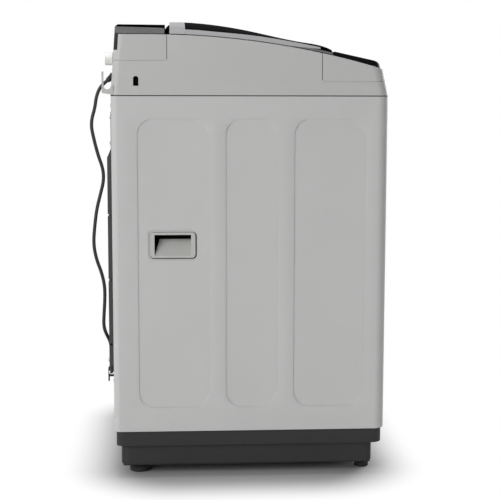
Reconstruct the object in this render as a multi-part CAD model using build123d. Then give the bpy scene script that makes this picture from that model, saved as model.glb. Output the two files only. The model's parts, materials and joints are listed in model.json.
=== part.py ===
from build123d import *
from math import cos, pi, radians, sin, sqrt, tan
import os

# Top load washing machine, built as an assembly of separate pieces. Millimetres, +Z up.
# The origin is on the floor under the middle of the machine. The front faces -Y, and the
# machine's left side, seen from the front, faces -X.

# ---------------------------------------------------------------------------- driving sizes
WIDTH = 550.0
CABINET_DEPTH = 560.0
REAR_REACH = 17.0  # how far the hook and clips stand behind the cabinet
CABINET_BOTTOM = 98.0
SEAM = 786.0  # where the top cover sits on the cabinet
LID_PEAK = 942.0

HALF = WIDTH / 2
FRONT = -(CABINET_DEPTH + REAR_REACH) / 2
REAR = FRONT + CABINET_DEPTH
BACK = REAR + REAR_REACH
MIDDLE = (FRONT + REAR) / 2  # the tub's axis, halfway along the cabinet

# Sheet steel
SHEET = 1.0
FRONT_CORNER = 22.0
REAR_CORNER = 14.0
REAR_FLANGE = 25.0
TOP_FLANGE = 14.0

# Pressed panels in the sides, as spans along Y
PANEL_SPANS = ((76.8, 218.5), (-62.6, 40.4), (-241.0, -98.5))
PANEL_BOTTOM = 149.0
PANEL_TOP = 738.0
PANEL_DEPTH = 2.5
PANEL_CORNER = 30.0

# Side handles
HANDLE_Y = (112.0, 186.0)
HANDLE_Z = (463.5, 505.5)
HANDLE_BEZEL = 6.0
HANDLE_DEPTH = 34.0
HANDLE_WALL = 2.5
HANDLE_SLANT = 14.0
SLOT_HEIGHT = 11.0
DENT_DEPTH = 1.2
DENT_MARGIN = (13.0, 10.0)

# Base
BASE_STEP = 67.0
BASE_BOTTOM = 21.0
BASE_WALL = 3.5
BASE_UPPER_INSET = 4.0
BASE_LOWER_HALF = 260.0
BASE_LOWER_FRONT = FRONT + 22.5
BASE_LOWER_REAR = REAR - 13.5
REAR_FOOT = (215.0, 221.0)
REAR_FOOT_RADIUS = 21.0
FRONT_FOOT = (211.0, -250.5)
FRONT_FOOT_RADIUS = 15.0
FOOT_THREAD = 5.0

# Top cover and its crowned top
COVER_WALL = 3.0
COVER_HEIGHT = 175.0  # the tapered body is drawn this high, then cut by the crown
FRONT_LEAN = 35.0
REAR_LEAN = 12.0
SIDE_LEAN = 8.0
SIDE_PEAK = (190.0, 906.0)
SIDE_RADIUS = 1650.0
DECK_DROP = 16.0
LID_GAP = 2.0
RIM_HALF = 264.0
SLOPE_RUN = 34.0
SLOPE_RISE = 13.0
CROWN_HALF = 230.0
# Crown of the lid and deck: place along Y, height at CROWN_HALF, height in the middle
CROWN = (
    (290.0, 918.0, 929.0),
    (200.0, 921.0, 937.0),
    (122.0, 920.0, LID_PEAK),
    (60.0, 914.0, 937.0),
    (0.0, 908.5, 927.5),
    (-60.0, 900.5, 914.0),
    (-118.0, 892.5, 899.5),
    (-176.0, 877.0, 880.5),
)

# Loading opening
OPENING_HALF_X = 212.0
OPENING_HALF_Y = 142.0
OPENING_CORNER = 70.0
FUNNEL_BOTTOM = 758.0
FUNNEL_REAR = MIDDLE + OPENING_HALF_Y
DRAWER_X = 66.0
DRAWER_Z = (808.0, 856.0)

# Lid
LID_FRONT = -175.0
GRIP_REAR = -152.0
GLASS_REAR = 122.0
RAIL_REAR = 153.5
DECK_FRONT = 163.5
SKIRT_BOTTOM = 875.5  # just above the inlet's hole
SKIRT_DEPTH = 8.0
SKIRT_RUN = 15.0
DECK_CROWN = ((290.0, 923.5, 936.6), (163.0, 920.6, 936.2))  # the same three sizes as in CROWN
GLASS_THICKNESS = 5.0
GLASS_HALF = 224.0
HINGE_Y = 142.0
HINGE_Z = 922.0
HINGE_X = 125.0
HINGE_PIN = 3.0
HINGE_SWEEP = 20.0
RUNNING_FIT = 0.05

# Control panel
PANEL_REAR = -177.5
PANEL_TOP_Z = 873.5
PANEL_SLOPE = 12.3
PANEL_NOSE = -258.0
PANEL_SKIN = 3.0
BUTTONS = {
    "power_button": (205.0, 11.0),
    "start_button": (168.0, 13.0),
    "program_button": (118.0, 8.0),
    "level_button": (90.0, 8.0),
    "delay_button": (62.0, 8.0),
}
BUTTON_Y = -218.0
DISPLAY_X = (-70.0, 30.0)
DISPLAY_HEIGHT = 34.0

# Tub and drive
TUB_RADIUS = 250.0
TUB_WALL = 4.0
TUB_BOTTOM = 292.0
TUB_TOP = 726.0
BASKET_RADIUS = 232.0
BASKET_WALL = 1.2
BASKET_BOTTOM = 318.0
BASKET_TOP = 704.0
BALANCE_INNER = 196.0
PULSATOR_RADIUS = 168.0
SPIN_SHAFT = 17.5
WASH_SHAFT = 9.0
GEARCASE_RADIUS = 62.0
BRACKET_BOTTOM = 284.0
MOTOR_OFFSET = 152.0
MOTOR_ANGLE = 215.0
PULLEY_Z = (150.0, 166.0)
DRIVE_PULLEY = 68.0
MOTOR_PULLEY = 24.0
BELT_GAP = 0.3

# Suspension
ROD_X = 233.0
ROD_Y = 237.5
ROD_RADIUS = 4.0
ROD_BOTTOM = 136.0
GUSSET_Z = 768.0
SPRING_BOTTOM = 150.0
SPRING_TOP = 322.0
SPRING_RADIUS = 15.0
SPRING_WIRE = 1.8
SPRING_TURNS = 11

# Back of the machine
COVER_HALF = 240.0
COVER_PLATE = 3.0
BACK_PLATE_TOP = 752.0
BACK_COVER_BOTTOM = 229.0
BACK_COVER_TOP = 678.0
PAD_GROOVES = (274.5, 409.0, 543.0)
PAD_PROUD = 9.8
PAD_SKIN = 1.5
PAD_SLOPE = 18.0
INLET_X = -178.0
INLET_Z = 859.6
INLET_THREAD = 13.2  # outer radius of a G 3/4 thread
STUB_START = 270.5
STUB_END = 285.5
DRAIN_X = 175.0
DRAIN_Z = 150.0
DRAIN_RADIUS = 15.0

# Power cord
CORD = 7.0
CORD_X = -238.0
CORD_EXIT_Z = 822.0
BUSH_RADIUS = 5.0
CLIP_X = 165.0
CLIP_HOLE = (281.3, 199.0)
COIL_CENTRE = (330.5, 190.0)
COIL_RADIUS = 38.5
COIL_WIDTH = 14.0
COIL_HEIGHT = 14.0
PLUG_START = (369.0, 224.0, 5.5)
PLUG_TILT = 16.0

# Free length of the cord: out of the sleeve, down the back in slack bends, into the recess in
# the back cover, through the two clips, down to the floor and round the corner to the coil.
CORD_ROUTE = (
    (CORD_X, 279, 814.6),
    (-238, 287.8, 807.7),
    (-238, 296.3, 796.3),
    (-238, 302, 779),
    (-238, 304, 762),
    (-239, 313.5, 729),
    (-239, 307, 696),
    (-238, 299, 664),
    (-237.5, 289.5, 637),
    (-237.5, 288.5, 613),
    (-238, 295.5, 586),
    (-238, 303.5, 555),
    (-239, 308, 520),
    (-239, 311, 484),
    (-238, 305.5, 452),
    (-237, 295, 424),
    (-237, 289, 395),
    (-237, 289.5, 364),
    (-237, 291.5, 337),
    (-236, 292.5, 316),
    (-232.5, 290, 301.5),
    (-226, 285.5, 289.5),
    (-217.5, 281.5, 279),
    (-210, 279, 265),
    (-207, 278, 248),
    (-205, 278.4, 230),
    (-197, 279.3, 214),
    (-183.2, 280.4, 203.6),
    (-166, 281.2, 199.2),
    (-143, 281.4, 196),
    (-105, 281, 191.5),
    (-60, 280.5, 187.5),
    (-2, 280.5, 185.5),
    (58, 280.5, 187),
    (108, 281, 191.5),
    (144, 281.4, 196.5),
    (168, 281.2, 198.5),
    (185.5, 281.2, 193.5),
    (199.5, 281.3, 181.5),
    (207, 281.7, 165),
    (210, 282.5, 144),
    (211.3, 283.5, 113),
    (211.6, 285, 80),
    (212, 286.5, 55),
    (214.5, 287.8, 38),
    (219.5, 288.8, 22),
    (230.5, 289.6, 10),
    (246, 290.2, 3.9),
    (261.7, 289.7, CORD / 2),
    (276.2, 284.3, CORD / 2),
    (287.2, 272.6, CORD / 2),
    (292.3, 257.4, CORD / 2),
    (293, 238, CORD / 2),
    (292.7, 219, CORD / 2),
    (292, 201, CORD / 2),
)


# ---------------------------------------------------------------------------- helpers
def block(x0, x1, y0, y1, z0, z1):
    """A box between two corners."""
    centre = Pos((x0 + x1) / 2, (y0 + y1) / 2, (z0 + z1) / 2)
    return centre * Box(x1 - x0, y1 - y0, z1 - z0)


def rod_z(x, y, z0, z1, radius):
    """A round bar along Z."""
    return Pos(x, y, (z0 + z1) / 2) * Cylinder(radius, z1 - z0)


def rod_x(x0, x1, y, z, radius):
    """A round bar along X."""
    return Pos((x0 + x1) / 2, y, z) * Rot(0, 90, 0) * Cylinder(radius, x1 - x0)


def rod_y(y0, y1, x, z, radius):
    """A round bar along Y."""
    return Pos(x, (y0 + y1) / 2, z) * Rot(90, 0, 0) * Cylinder(radius, y1 - y0)


def cone_y(y0, y1, x, z, radius0, radius1):
    """A round bar along Y that tapers from radius0 at y0 to radius1 at y1."""
    return Pos(x, (y0 + y1) / 2, z) * Rot(-90, 0, 0) * Cone(radius0, radius1, y1 - y0)


def plan(half, front, rear, front_radius, rear_radius):
    """Plan outline of the cabinet's kind, rounded at its four corners."""
    middle = (front + rear) / 2
    face = Pos(0, middle) * Rectangle(2 * half, rear - front)
    face = fillet([v for v in face.vertices() if v.Y < middle], front_radius)
    return fillet([v for v in face.vertices() if v.Y > rear - 0.01], rear_radius)


def plan_prism(outline, z0, z1):
    """A plan outline carried from z0 up to z1."""
    return Pos(0, 0, z0) * extrude(outline, z1 - z0)


def side_prism(points, x0, x1):
    """A polygon of (y, z) points carried along X from x0 to x1."""
    face = make_face(Polyline(*points, close=True))
    return Pos(x0, 0, 0) * extrude(Plane.YZ * face, x1 - x0)


def mirrored(shape):
    """A shape and its mirror image on the other side of the machine."""
    return shape + mirror(shape, Plane.YZ)


def four_corners(shape):
    """A shape at one rod's corner, repeated at the four rods."""
    pair = mirrored(shape)
    return pair + mirror(pair, Plane.XZ.offset(-MIDDLE))


def save(name, shape):
    """Write one node's STEP file and print what it holds."""
    solids = shape.solids()
    export_step(Compound(children=solids) if len(solids) > 1 else solids[0], f"parts/{name}.step")
    print(f"{name}: {len(solids)} solid(s), {shape.volume / 1000:.1f} cm3")


# ---------------------------------------------------------------------------- crowned top
def side_line(y):
    """Height of the top cover's side edge at a place along Y."""
    if y >= SIDE_PEAK[0]:
        return SIDE_PEAK[1]
    return SIDE_PEAK[1] - SIDE_RADIUS + sqrt(SIDE_RADIUS**2 - (y - SIDE_PEAK[0]) ** 2)


def side_face(offset, bottom=600.0):
    """Face in the YZ plane under the side line, moved up or down by offset."""
    ends = (FRONT - 60, BACK + 60)
    middle = (ends[0] + SIDE_PEAK[0]) / 2
    arc = ThreePointArc(
        (ends[0], side_line(ends[0]) + offset),
        (middle, side_line(middle) + offset),
        (SIDE_PEAK[0], SIDE_PEAK[1] + offset),
    )
    rest = Polyline(
        (SIDE_PEAK[0], SIDE_PEAK[1] + offset),
        (ends[1], SIDE_PEAK[1] + offset),
        (ends[1], bottom),
        (ends[0], bottom),
        (ends[0], side_line(ends[0]) + offset),
    )
    return Plane.YZ * make_face([arc, rest])


def under_line(offset):
    """Everything under the side line, moved by offset, across the whole machine."""
    return extrude(side_face(offset), HALF + 20, both=True)


def cover_body(inset, bottom=SEAM):
    """Tapered body of the top cover, whose walls all lean inwards, less an inset."""
    low = plan(HALF - inset, FRONT + inset, REAR - inset, FRONT_CORNER, REAR_CORNER)
    high = plan(
        HALF - SIDE_LEAN - inset,
        FRONT + FRONT_LEAN + inset,
        REAR - REAR_LEAN - inset,
        FRONT_CORNER + 8,
        REAR_CORNER + 8,
    )
    body = loft([Pos(0, 0, SEAM) * low, Pos(0, 0, SEAM + COVER_HEIGHT) * high], ruled=True)
    if bottom < SEAM:
        body += plan_prism(low, bottom, SEAM)
    return body


def crown_section(y, edge, centre):
    """Cross-section under the crown at one place along Y."""
    rise = centre - edge
    radius = (CROWN_HALF**2 + rise**2) / (2 * rise)
    reach = HALF + 10
    end = centre - radius + sqrt(radius**2 - reach**2)
    arc = ThreePointArc((-reach, end), (0, centre), (reach, end))
    rest = Polyline((reach, end), (reach, SEAM), (-reach, SEAM), (-reach, end))
    return Pos(0, y, 0) * (Plane.XZ * make_face([arc, rest]))


def crown_form():
    """The solid under the crown and between the sloping sides of lid and deck."""
    crown = loft([crown_section(*station) for station in CROWN])
    steps = RIM_HALF / SLOPE_RUN
    edge = Pos(RIM_HALF, 0, 0) * side_face(LID_GAP, bottom=700.0)
    slope = Solid.extrude(edge.faces()[0], Vector(-RIM_HALF, 0, SLOPE_RISE * steps))
    return crown & mirrored(slope)


def slab(y0, y1):
    """The space between two places along Y."""
    return block(-HALF - 20, HALF + 20, y0, y1, SEAM, SEAM + COVER_HEIGHT)


def drop(shape, distance):
    """The same shape lower down."""
    return Pos(0, 0, -distance) * shape


FORM = crown_form()
OPENING = Pos(0, MIDDLE) * RectangleRounded(2 * OPENING_HALF_X, 2 * OPENING_HALF_Y, OPENING_CORNER)


# ---------------------------------------------------------------------------- cabinet
def pressing(span_y, span_z, corner, face, depth, grow):
    """Space of one pressed dent in the right-hand side, from a face inwards."""
    size = (span_y[1] - span_y[0] + 2 * grow, span_z[1] - span_z[0] + 2 * grow)
    outline = RectangleRounded(*size, corner + grow)
    centre = Pos(face, sum(span_y) / 2, sum(span_z) / 2)
    return centre * extrude(Plane.YZ * outline, -depth)


def pressed_panel(span, depth, grow):
    """Space of one tall pressed panel."""
    return pressing(span, (PANEL_BOTTOM, PANEL_TOP), PANEL_CORNER, HALF, depth, grow)


def handle_dent(depth, grow):
    """Space of the shallow dent round a side handle."""
    span_y = (HANDLE_Y[0] - DENT_MARGIN[0], HANDLE_Y[1] + DENT_MARGIN[0])
    span_z = (HANDLE_Z[0] - DENT_MARGIN[1], HANDLE_Z[1] + DENT_MARGIN[1])
    return pressing(span_y, span_z, 10, HALF - PANEL_DEPTH, depth, grow)


def cabinet_shell():
    """Painted steel wrapper: front, sides and rear flanges in one sheet, with corner gussets."""
    outer = plan(HALF, FRONT, REAR, FRONT_CORNER, REAR_CORNER)
    inner = plan(HALF - SHEET, FRONT + SHEET, REAR - SHEET, FRONT_CORNER - SHEET, REAR_CORNER - SHEET)
    rim = plan(HALF - TOP_FLANGE, FRONT + TOP_FLANGE, REAR - TOP_FLANGE, FRONT_CORNER, REAR_CORNER)
    shell = plan_prism(outer - inner, CABINET_BOTTOM, SEAM)
    flange = plan_prism(inner - rim, SEAM - SHEET, SEAM)
    shell += flange + Pos(0, 0, CABINET_BOTTOM - SEAM + SHEET) * flange
    for span in PANEL_SPANS:
        shell += mirrored(pressed_panel(span, PANEL_DEPTH + SHEET, SHEET))
        shell -= mirrored(pressed_panel(span, PANEL_DEPTH, 0))
    shell += mirrored(handle_dent(DENT_DEPTH + SHEET, SHEET) - pressed_panel(PANEL_SPANS[0], PANEL_DEPTH, 0))
    shell -= mirrored(handle_dent(DENT_DEPTH, 0))
    inner_rear = HALF - REAR_FLANGE
    shell -= block(-inner_rear, inner_rear, REAR - TOP_FLANGE - 1, REAR + 1, CABINET_BOTTOM - 1, SEAM + 1)
    handle_hole = block(
        HALF - 10, HALF + 1,
        HANDLE_Y[0] - HANDLE_WALL, HANDLE_Y[1] + HANDLE_WALL,
        HANDLE_Z[0] - HANDLE_WALL, HANDLE_Z[1] + HANDLE_WALL,
    )
    shell -= mirrored(handle_hole)
    return shell + four_corners(gusset())


def gusset():
    """Corner plate that a hanger rod's ball head rests on."""
    corner_x = HALF - SHEET
    corner_y = REAR - SHEET
    leg = 86.0
    outline = Polyline(
        (corner_x, corner_y - FRONT_CORNER),
        (corner_x, corner_y - leg),
        (corner_x - leg, corner_y - 2),
        (corner_x - FRONT_CORNER, corner_y - 2),
        close=True,
    )
    plate = plan_prism(make_face(outline), GUSSET_Z, GUSSET_Z + 3)
    return plate - rod_z(ROD_X, MIDDLE + ROD_Y, GUSSET_Z - 1, GUSSET_Z + 4, ROD_RADIUS + 1)


def side_handles():
    """Moulded handle cups in both sides: bezel, cup and a slanted scoop below the finger slot."""
    y0, y1 = HANDLE_Y
    z0, z1 = HANDLE_Z
    face = HALF - PANEL_DEPTH - DENT_DEPTH
    inner = HALF - HANDLE_DEPTH
    wall = HANDLE_WALL
    middle = Pos(face, (y0 + y1) / 2, (z0 + z1) / 2)
    bezel_size = (y1 - y0 + 3 * HANDLE_BEZEL, z1 - z0 + 2 * HANDLE_BEZEL - 2)
    bezel = middle * extrude(Plane.YZ * RectangleRounded(*bezel_size, 7), PANEL_DEPTH)
    bezel = fillet(bezel.edges().group_by(Axis.X)[-1], 1)
    cup = block(inner, face, y0 - wall, y1 + wall, z0 - wall, z1 + wall)
    cavity = block(inner + wall, HALF + 1, y0, y1, z0, z1)
    scoop = side_prism([(y0, z0), (y1, z0), (y1 - HANDLE_SLANT, z1), (y0, z1)], inner + wall, face)
    back = inner + wall
    ramp = Polyline(
        (back, z1 - SLOT_HEIGHT),
        (back, z0),
        (face, z0),
        (face, z0 + 2),
        (back + 6, z1 - SLOT_HEIGHT),
        close=True,
    )
    ramp_solid = Pos(0, y1, 0) * extrude(Plane.XZ * make_face(ramp), y1 - y0)
    handle = bezel + cup - cavity + (scoop & ramp_solid & cavity)
    return mirrored(handle)


def base_frame():
    """Moulded base in two steps, open inside, with a block over each foot."""
    inset = BASE_UPPER_INSET
    upper = plan(HALF - inset, FRONT + inset, REAR - inset, FRONT_CORNER, REAR_CORNER)
    lower = plan(BASE_LOWER_HALF, BASE_LOWER_FRONT, BASE_LOWER_REAR, 18, 18)
    wall = BASE_WALL
    lower_inner = plan(
        BASE_LOWER_HALF - wall, BASE_LOWER_FRONT + wall, BASE_LOWER_REAR - wall, 15, 15
    )
    band = plan_prism(upper, BASE_STEP, CABINET_BOTTOM)
    skirt = plan_prism(lower, BASE_BOTTOM, BASE_STEP)
    skirt = fillet(skirt.edges().group_by(Axis.Z)[0], 6)
    inside = plan_prism(lower_inner, BASE_BOTTOM - 1, CABINET_BOTTOM + 1)
    corners = mirrored(
        block(170, 255, -262, -205, BASE_BOTTOM, CABINET_BOTTOM)
        + block(175, 255, 185, 254, BASE_BOTTOM, CABINET_BOTTOM)
    )
    base = band + skirt - inside + corners
    front_bore = rod_z(*FRONT_FOOT, BASE_BOTTOM - 1, BASE_BOTTOM + 46, FOOT_THREAD + RUNNING_FIT)
    rear_bore = rod_z(*REAR_FOOT, BASE_BOTTOM - 1, BASE_BOTTOM + 20, 8)
    return base - mirrored(front_bore + rear_bore)


def rear_feet():
    """Two fixed rubber feet with a plug that fills a bore in the base."""
    x, y = REAR_FOOT
    pad = rod_z(x, y, 0, 12, REAR_FOOT_RADIUS)
    pad = chamfer(pad.edges().group_by(Axis.Z)[0], 1.5)
    neck = rod_z(x, y, 12, BASE_BOTTOM, REAR_FOOT_RADIUS - 4)
    plug = rod_z(x, y, BASE_BOTTOM, BASE_BOTTOM + 20, 8)
    return mirrored(pad + neck + plug)


def front_foot(side):
    """Adjustable foot: rubber pad, hexagonal collar and a threaded stem."""
    x, y = FRONT_FOOT
    x *= side
    pad = rod_z(x, y, 0, 10, FRONT_FOOT_RADIUS)
    pad = chamfer(pad.edges().group_by(Axis.Z)[0], 1.2)
    collar = Pos(x, y, 10) * extrude(RegularPolygon(11, 6), BASE_BOTTOM - 10 - 0.5)
    stem = rod_z(x, y, 10, BASE_BOTTOM + 44, FOOT_THREAD)
    return pad + collar + stem


def back_panel():
    """Flat steel sheet that closes the back, with an access opening behind the cover."""
    face = REAR - SHEET
    sheet = block(-HALF + 14, HALF - 14, face - SHEET, face, CABINET_BOTTOM + SHEET, SEAM - SHEET)
    access = block(-150, 150, face - 2, face + 1, 250, 640)
    outlet = rod_y(face - 2, face + 1, DRAIN_X, DRAIN_Z, DRAIN_RADIUS + 3)
    return sheet - access - outlet


def cord_recess(grow):
    """Recess in the back cover that the cord dips into, and the channel that leads it down."""
    floor = REAR - SHEET + COVER_PLATE - grow
    pocket = block(-235 - grow, -198 + grow, floor, BACK, 252 - grow, 316 + grow)
    return pocket + block(-214 - grow, -198 + grow, floor, BACK, BACK_COVER_BOTTOM - 1, 253)


def back_cover():
    """Access cover on the back: a flat plate with four hollow raised pads and a cord recess."""
    face = REAR - SHEET
    top = REAR + PAD_PROUD
    half = COVER_HALF
    skin = PAD_SKIN
    plate = block(-half, half, face, face + COVER_PLATE, BACK_COVER_BOTTOM, BACK_PLATE_TOP)
    bounds = [BACK_COVER_BOTTOM, *PAD_GROOVES, BACK_COVER_TOP]
    for low, high in zip(bounds, bounds[1:]):
        z0 = low + (2 if low > BACK_COVER_BOTTOM else 0)
        z1 = high - (2 if high < BACK_COVER_TOP else 0)
        slope = PAD_SLOPE if high == BACK_COVER_TOP else 1
        step = face + COVER_PLATE
        outline = [(face + 1.5, z0), (top, z0), (top, z1 - slope), (step, z1), (face + 1.5, z1)]
        inner = [
            (face - 1, z0 + skin),
            (top - skin, z0 + skin),
            (top - skin, z1 - slope - skin),
            (step - skin, z1 - skin - 1),
            (face - 1, z1 - skin - 1),
        ]
        plate += side_prism(outline, -half, half) - cord_recess(0)
        plate -= side_prism(inner, -half + skin, half - skin) - cord_recess(skin)
    return plate


# ---------------------------------------------------------------------------- top cover
def top_cover():
    """Light grey moulding: leaning walls, sunken deck, loading funnel and hinge lugs."""
    walls = (cover_body(0) - cover_body(COVER_WALL)) & under_line(0)
    deck = cover_body(COVER_WALL) & (under_line(-DECK_DROP) - under_line(-DECK_DROP - COVER_WALL))
    cover = walls + deck - plan_prism(OPENING, SEAM - 40, SEAM + COVER_HEIGHT)
    ring = offset(OPENING, COVER_WALL) - OPENING
    cover += plan_prism(ring, FUNNEL_BOTTOM, SEAM + COVER_HEIGHT) & under_line(-DECK_DROP)
    lug = rod_x(HINGE_X - 5, HINGE_X + 5, HINGE_Y, HINGE_Z, 7.5)
    lug += block(HINGE_X - 5, HINGE_X + 5, HINGE_Y - 7.5, HINGE_Y + 7.5, 880, HINGE_Z)
    lug -= rod_x(HINGE_X - 6, HINGE_X + 6, HINGE_Y, HINGE_Z, HINGE_PIN)
    cover += mirrored(lug)
    cover -= mirrored(arch_slot())
    cover -= mirrored(side_grooves())
    cover -= (cover_body(-1) - cover_body(COVER_WALL)) & skirt_space(0.3)
    cover -= rod_y(REAR - 20, REAR + 2, INLET_X, INLET_Z, INLET_THREAD + 2)
    cover -= rod_y(REAR - 20, REAR + 2, CORD_X, CORD_EXIT_Z, BUSH_RADIUS)
    x, (z0, z1) = DRAWER_X + 2, DRAWER_Z
    return cover - block(-x, x, FUNNEL_REAR - 1, FUNNEL_REAR + 4, z0 - 0.5, z1 + 2)


def arch_slot():
    """Arch-topped slot through the side wall near the back."""
    y, low, high, half = 220.8, 804.5, 818.5, 5.3
    return block(HALF - 12, HALF + 1, y - half, y + half, low, high) + rod_x(
        HALF - 12, HALF + 1, y, high, half
    )


def side_grooves():
    """Two shallow grooves that step down the side wall and run to its ends."""
    depth, width = 0.8, 1.2
    rear_y, rear_z = 158.3, 853.5
    front_y, front_z = -151.8, 812.8
    wall = cover_body(0) - cover_body(depth)
    path = block(HALF - 30, HALF + 1, rear_y, rear_y + width, rear_z + 4, SEAM + COVER_HEIGHT)
    high = rear_z + 4.2
    bend = [(rear_y, high), (rear_y + width, high), (rear_y + 5, rear_z + 1), (rear_y + 4, rear_z)]
    path += side_prism(bend, HALF - 30, HALF + 1)
    path += block(HALF - 30, HALF + 1, rear_y + 4, REAR - 8, rear_z, rear_z + width)
    path += block(HALF - 30, HALF + 1, front_y - width, front_y, front_z + 4, SEAM + COVER_HEIGHT)
    high = front_z + 4.2
    bend = [(front_y, high), (front_y - width, high), (front_y - 5, front_z + 1), (front_y - 4, front_z)]
    path += side_prism(bend, HALF - 30, HALF + 1)
    path += block(HALF - 30, HALF + 1, FRONT + 14, front_y - 4, front_z, front_z + width)
    return path & wall


def deck_form():
    """The crowned form behind the lid, whose sides get steeper towards the back."""

    def section(y, run):
        foot = side_line(y) + LID_GAP
        peak = foot + SLOPE_RISE * RIM_HALF / run
        points = [(-RIM_HALF, 700), (-RIM_HALF, foot), (0, peak), (RIM_HALF, foot), (RIM_HALF, 700)]
        return Pos(0, y, 0) * (Plane.XZ * make_face(Polyline(*points, close=True)))

    roof = loft([section(BACK + 1, SKIRT_RUN), section(DECK_FRONT - 1, SLOPE_RUN)], ruled=True)
    return loft([crown_section(*station) for station in DECK_CROWN], ruled=True) & roof


def skirt_space(grow):
    """Space of the deck's skirt along the cover's upper back edge."""

    def edge(z):
        return REAR - REAR_LEAN * (z - SEAM) / COVER_HEIGHT - SKIRT_DEPTH - grow

    low, high = SKIRT_BOTTOM - grow, SEAM + COVER_HEIGHT
    return side_prism([(edge(low), low), (BACK, low), (BACK, high), (edge(high), high)], -HALF - 5, HALF + 5)


def rear_deck():
    """Crowned cover over the valves behind the lid, with a skirt down the back edge."""
    form = deck_form()
    outer = form & cover_body(1.5) & slab(DECK_FRONT, BACK)
    inner = drop(form, COVER_WALL) & cover_body(1.5 + COVER_WALL) & slab(DECK_FRONT + COVER_WALL, BACK)
    skirt = (cover_body(0) - cover_body(COVER_WALL - 0.1)) & skirt_space(0)
    skirt = (skirt & under_line(LID_GAP)) + (skirt & form)
    return outer - inner - under_line(LID_GAP / 2) + skirt


# ---------------------------------------------------------------------------- lid
def lid_space(y0, y1):
    """The lid's outer form between two places along Y."""
    return (FORM & slab(y0, y1)) - under_line(LID_GAP)


def glass_outline(grow):
    """Plan outline of the lid's glass."""
    front = GRIP_REAR + 26 - grow
    middle = (front + GLASS_REAR) / 2
    face = Pos(0, middle) * Rectangle(2 * (GLASS_HALF + grow), GLASS_REAR - front)
    return fillet([v for v in face.vertices() if v.Y < middle], 20 + grow)


def lid_glass():
    """Black tempered glass, curved to the crown, in the lid's frame."""
    outline = plan_prism(glass_outline(0), SEAM, SEAM + COVER_HEIGHT)
    return (FORM - drop(FORM, GLASS_THICKNESS)) & outline & slab(LID_FRONT, GLASS_REAR - 0.3)


def grip_wedges():
    """The dark grip's tails, which run back under the frame's sides as thin wedges."""
    tail = -87.0
    foot = side_line(GRIP_REAR) + LID_GAP
    end = side_line(tail)
    points = [(GRIP_REAR, foot - 4), (tail, end - 3), (tail, end + LID_GAP), (GRIP_REAR, foot + 7)]
    return side_prism(points, -HALF, HALF)


def lid_frame():
    """Silver frame round the glass, hollow below, with a ledge that carries the glass."""
    outer = lid_space(GRIP_REAR, GLASS_REAR)
    wall = 4.0
    pocket = plan_prism(glass_outline(0.2), SEAM, SEAM + COVER_HEIGHT) - drop(FORM, GLASS_THICKNESS)
    window = plan_prism(offset(glass_outline(0), -14), SEAM, SEAM + COVER_HEIGHT)
    hollow = drop(FORM, GLASS_THICKNESS + wall) & slab(GRIP_REAR + wall, GLASS_REAR - wall)
    hollow &= block(-250, 250, -300, 300, SEAM, SEAM + COVER_HEIGHT)
    return outer - pocket - window - hollow - grip_wedges()


def lid_grip():
    """Dark handle bar along the lid's front edge, with a finger recess underneath."""
    bar = lid_space(LID_FRONT, GRIP_REAR)
    recess = block(-90, 90, LID_FRONT + 6, GRIP_REAR - 3, SEAM, side_line(LID_FRONT) + 8)
    sides = slab(LID_FRONT, GLASS_REAR) - block(-250, 250, LID_FRONT, GLASS_REAR, SEAM, LID_PEAK + 20)
    tails = lid_space(GRIP_REAR, -80) & grip_wedges() & sides
    return bar - recess + tails


def lid_rear_rail():
    """Grey rail along the lid's back edge, which turns on the hinge pins."""
    outer = lid_space(GLASS_REAR, RAIL_REAR)
    swept = rod_x(-HALF, HALF, HINGE_Y, HINGE_Z, HINGE_SWEEP) + slab(0, HINGE_Y)
    outer &= swept
    hollow = drop(FORM, COVER_WALL) & slab(GLASS_REAR + 4, RAIL_REAR - 3)
    knuckle = block(HINGE_X - 24, HINGE_X + 24, GLASS_REAR, RAIL_REAR, SEAM, SEAM + COVER_HEIGHT)
    rail = outer - (hollow - mirrored(knuckle))
    notch = block(HINGE_X - 6, HINGE_X + 6, HINGE_Y - 8.5, BACK, SEAM, HINGE_Z + 8.5)
    bores = rod_x(HINGE_X - 20, HINGE_X + 20, HINGE_Y, HINGE_Z, HINGE_PIN + RUNNING_FIT)
    return rail - mirrored(notch + bores)


def hinge_pins():
    """Two steel pins, held in the top cover's lugs, that the lid turns on."""
    return mirrored(rod_x(HINGE_X - 19, HINGE_X + 19, HINGE_Y, HINGE_Z, HINGE_PIN))


def lid_lock():
    """Lid switch on the outside of the loading funnel, with its bolt under the lid's edge."""
    x = OPENING_HALF_X + COVER_WALL
    body = block(x, x + 24, -58, 2, 842, 868)
    bolt = block(x + 8, x + 16, -34, -24, 836, 842)
    return body + bolt


# ---------------------------------------------------------------------------- controls
def panel_height(y):
    """Height of the control panel's sloping top at a place along Y."""
    return PANEL_TOP_Z + (y - PANEL_REAR) * tan(radians(PANEL_SLOPE))


def panel_frame(x, y):
    """Location on the panel's top whose Z axis points out of it."""
    return Pos(x, y, panel_height(y)) * Rot(PANEL_SLOPE, 0, 0)


def panel_profile(inset):
    """Side view of the control panel: a sloping top that rolls over its front edge."""
    nose = (PANEL_NOSE, panel_height(PANEL_NOSE) - inset)
    toe = (FRONT + 11.5 + inset, 834.0)
    edge = Line((PANEL_REAR - inset, 800), (PANEL_REAR - inset, panel_height(PANEL_REAR) - inset))
    top = Line(edge @ 1, nose)
    roll = TangentArc(nose, toe, tangent=top % 1)
    rest = Polyline(roll @ 1, (FRONT + 11.5 + inset, 800), edge @ 0)
    return Plane.YZ * make_face([edge, top, roll, rest])


def panel_space(inset):
    """Space of the control panel, less an inset."""
    return extrude(panel_profile(inset), HALF, both=True) & cover_body(4 + inset)


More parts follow.
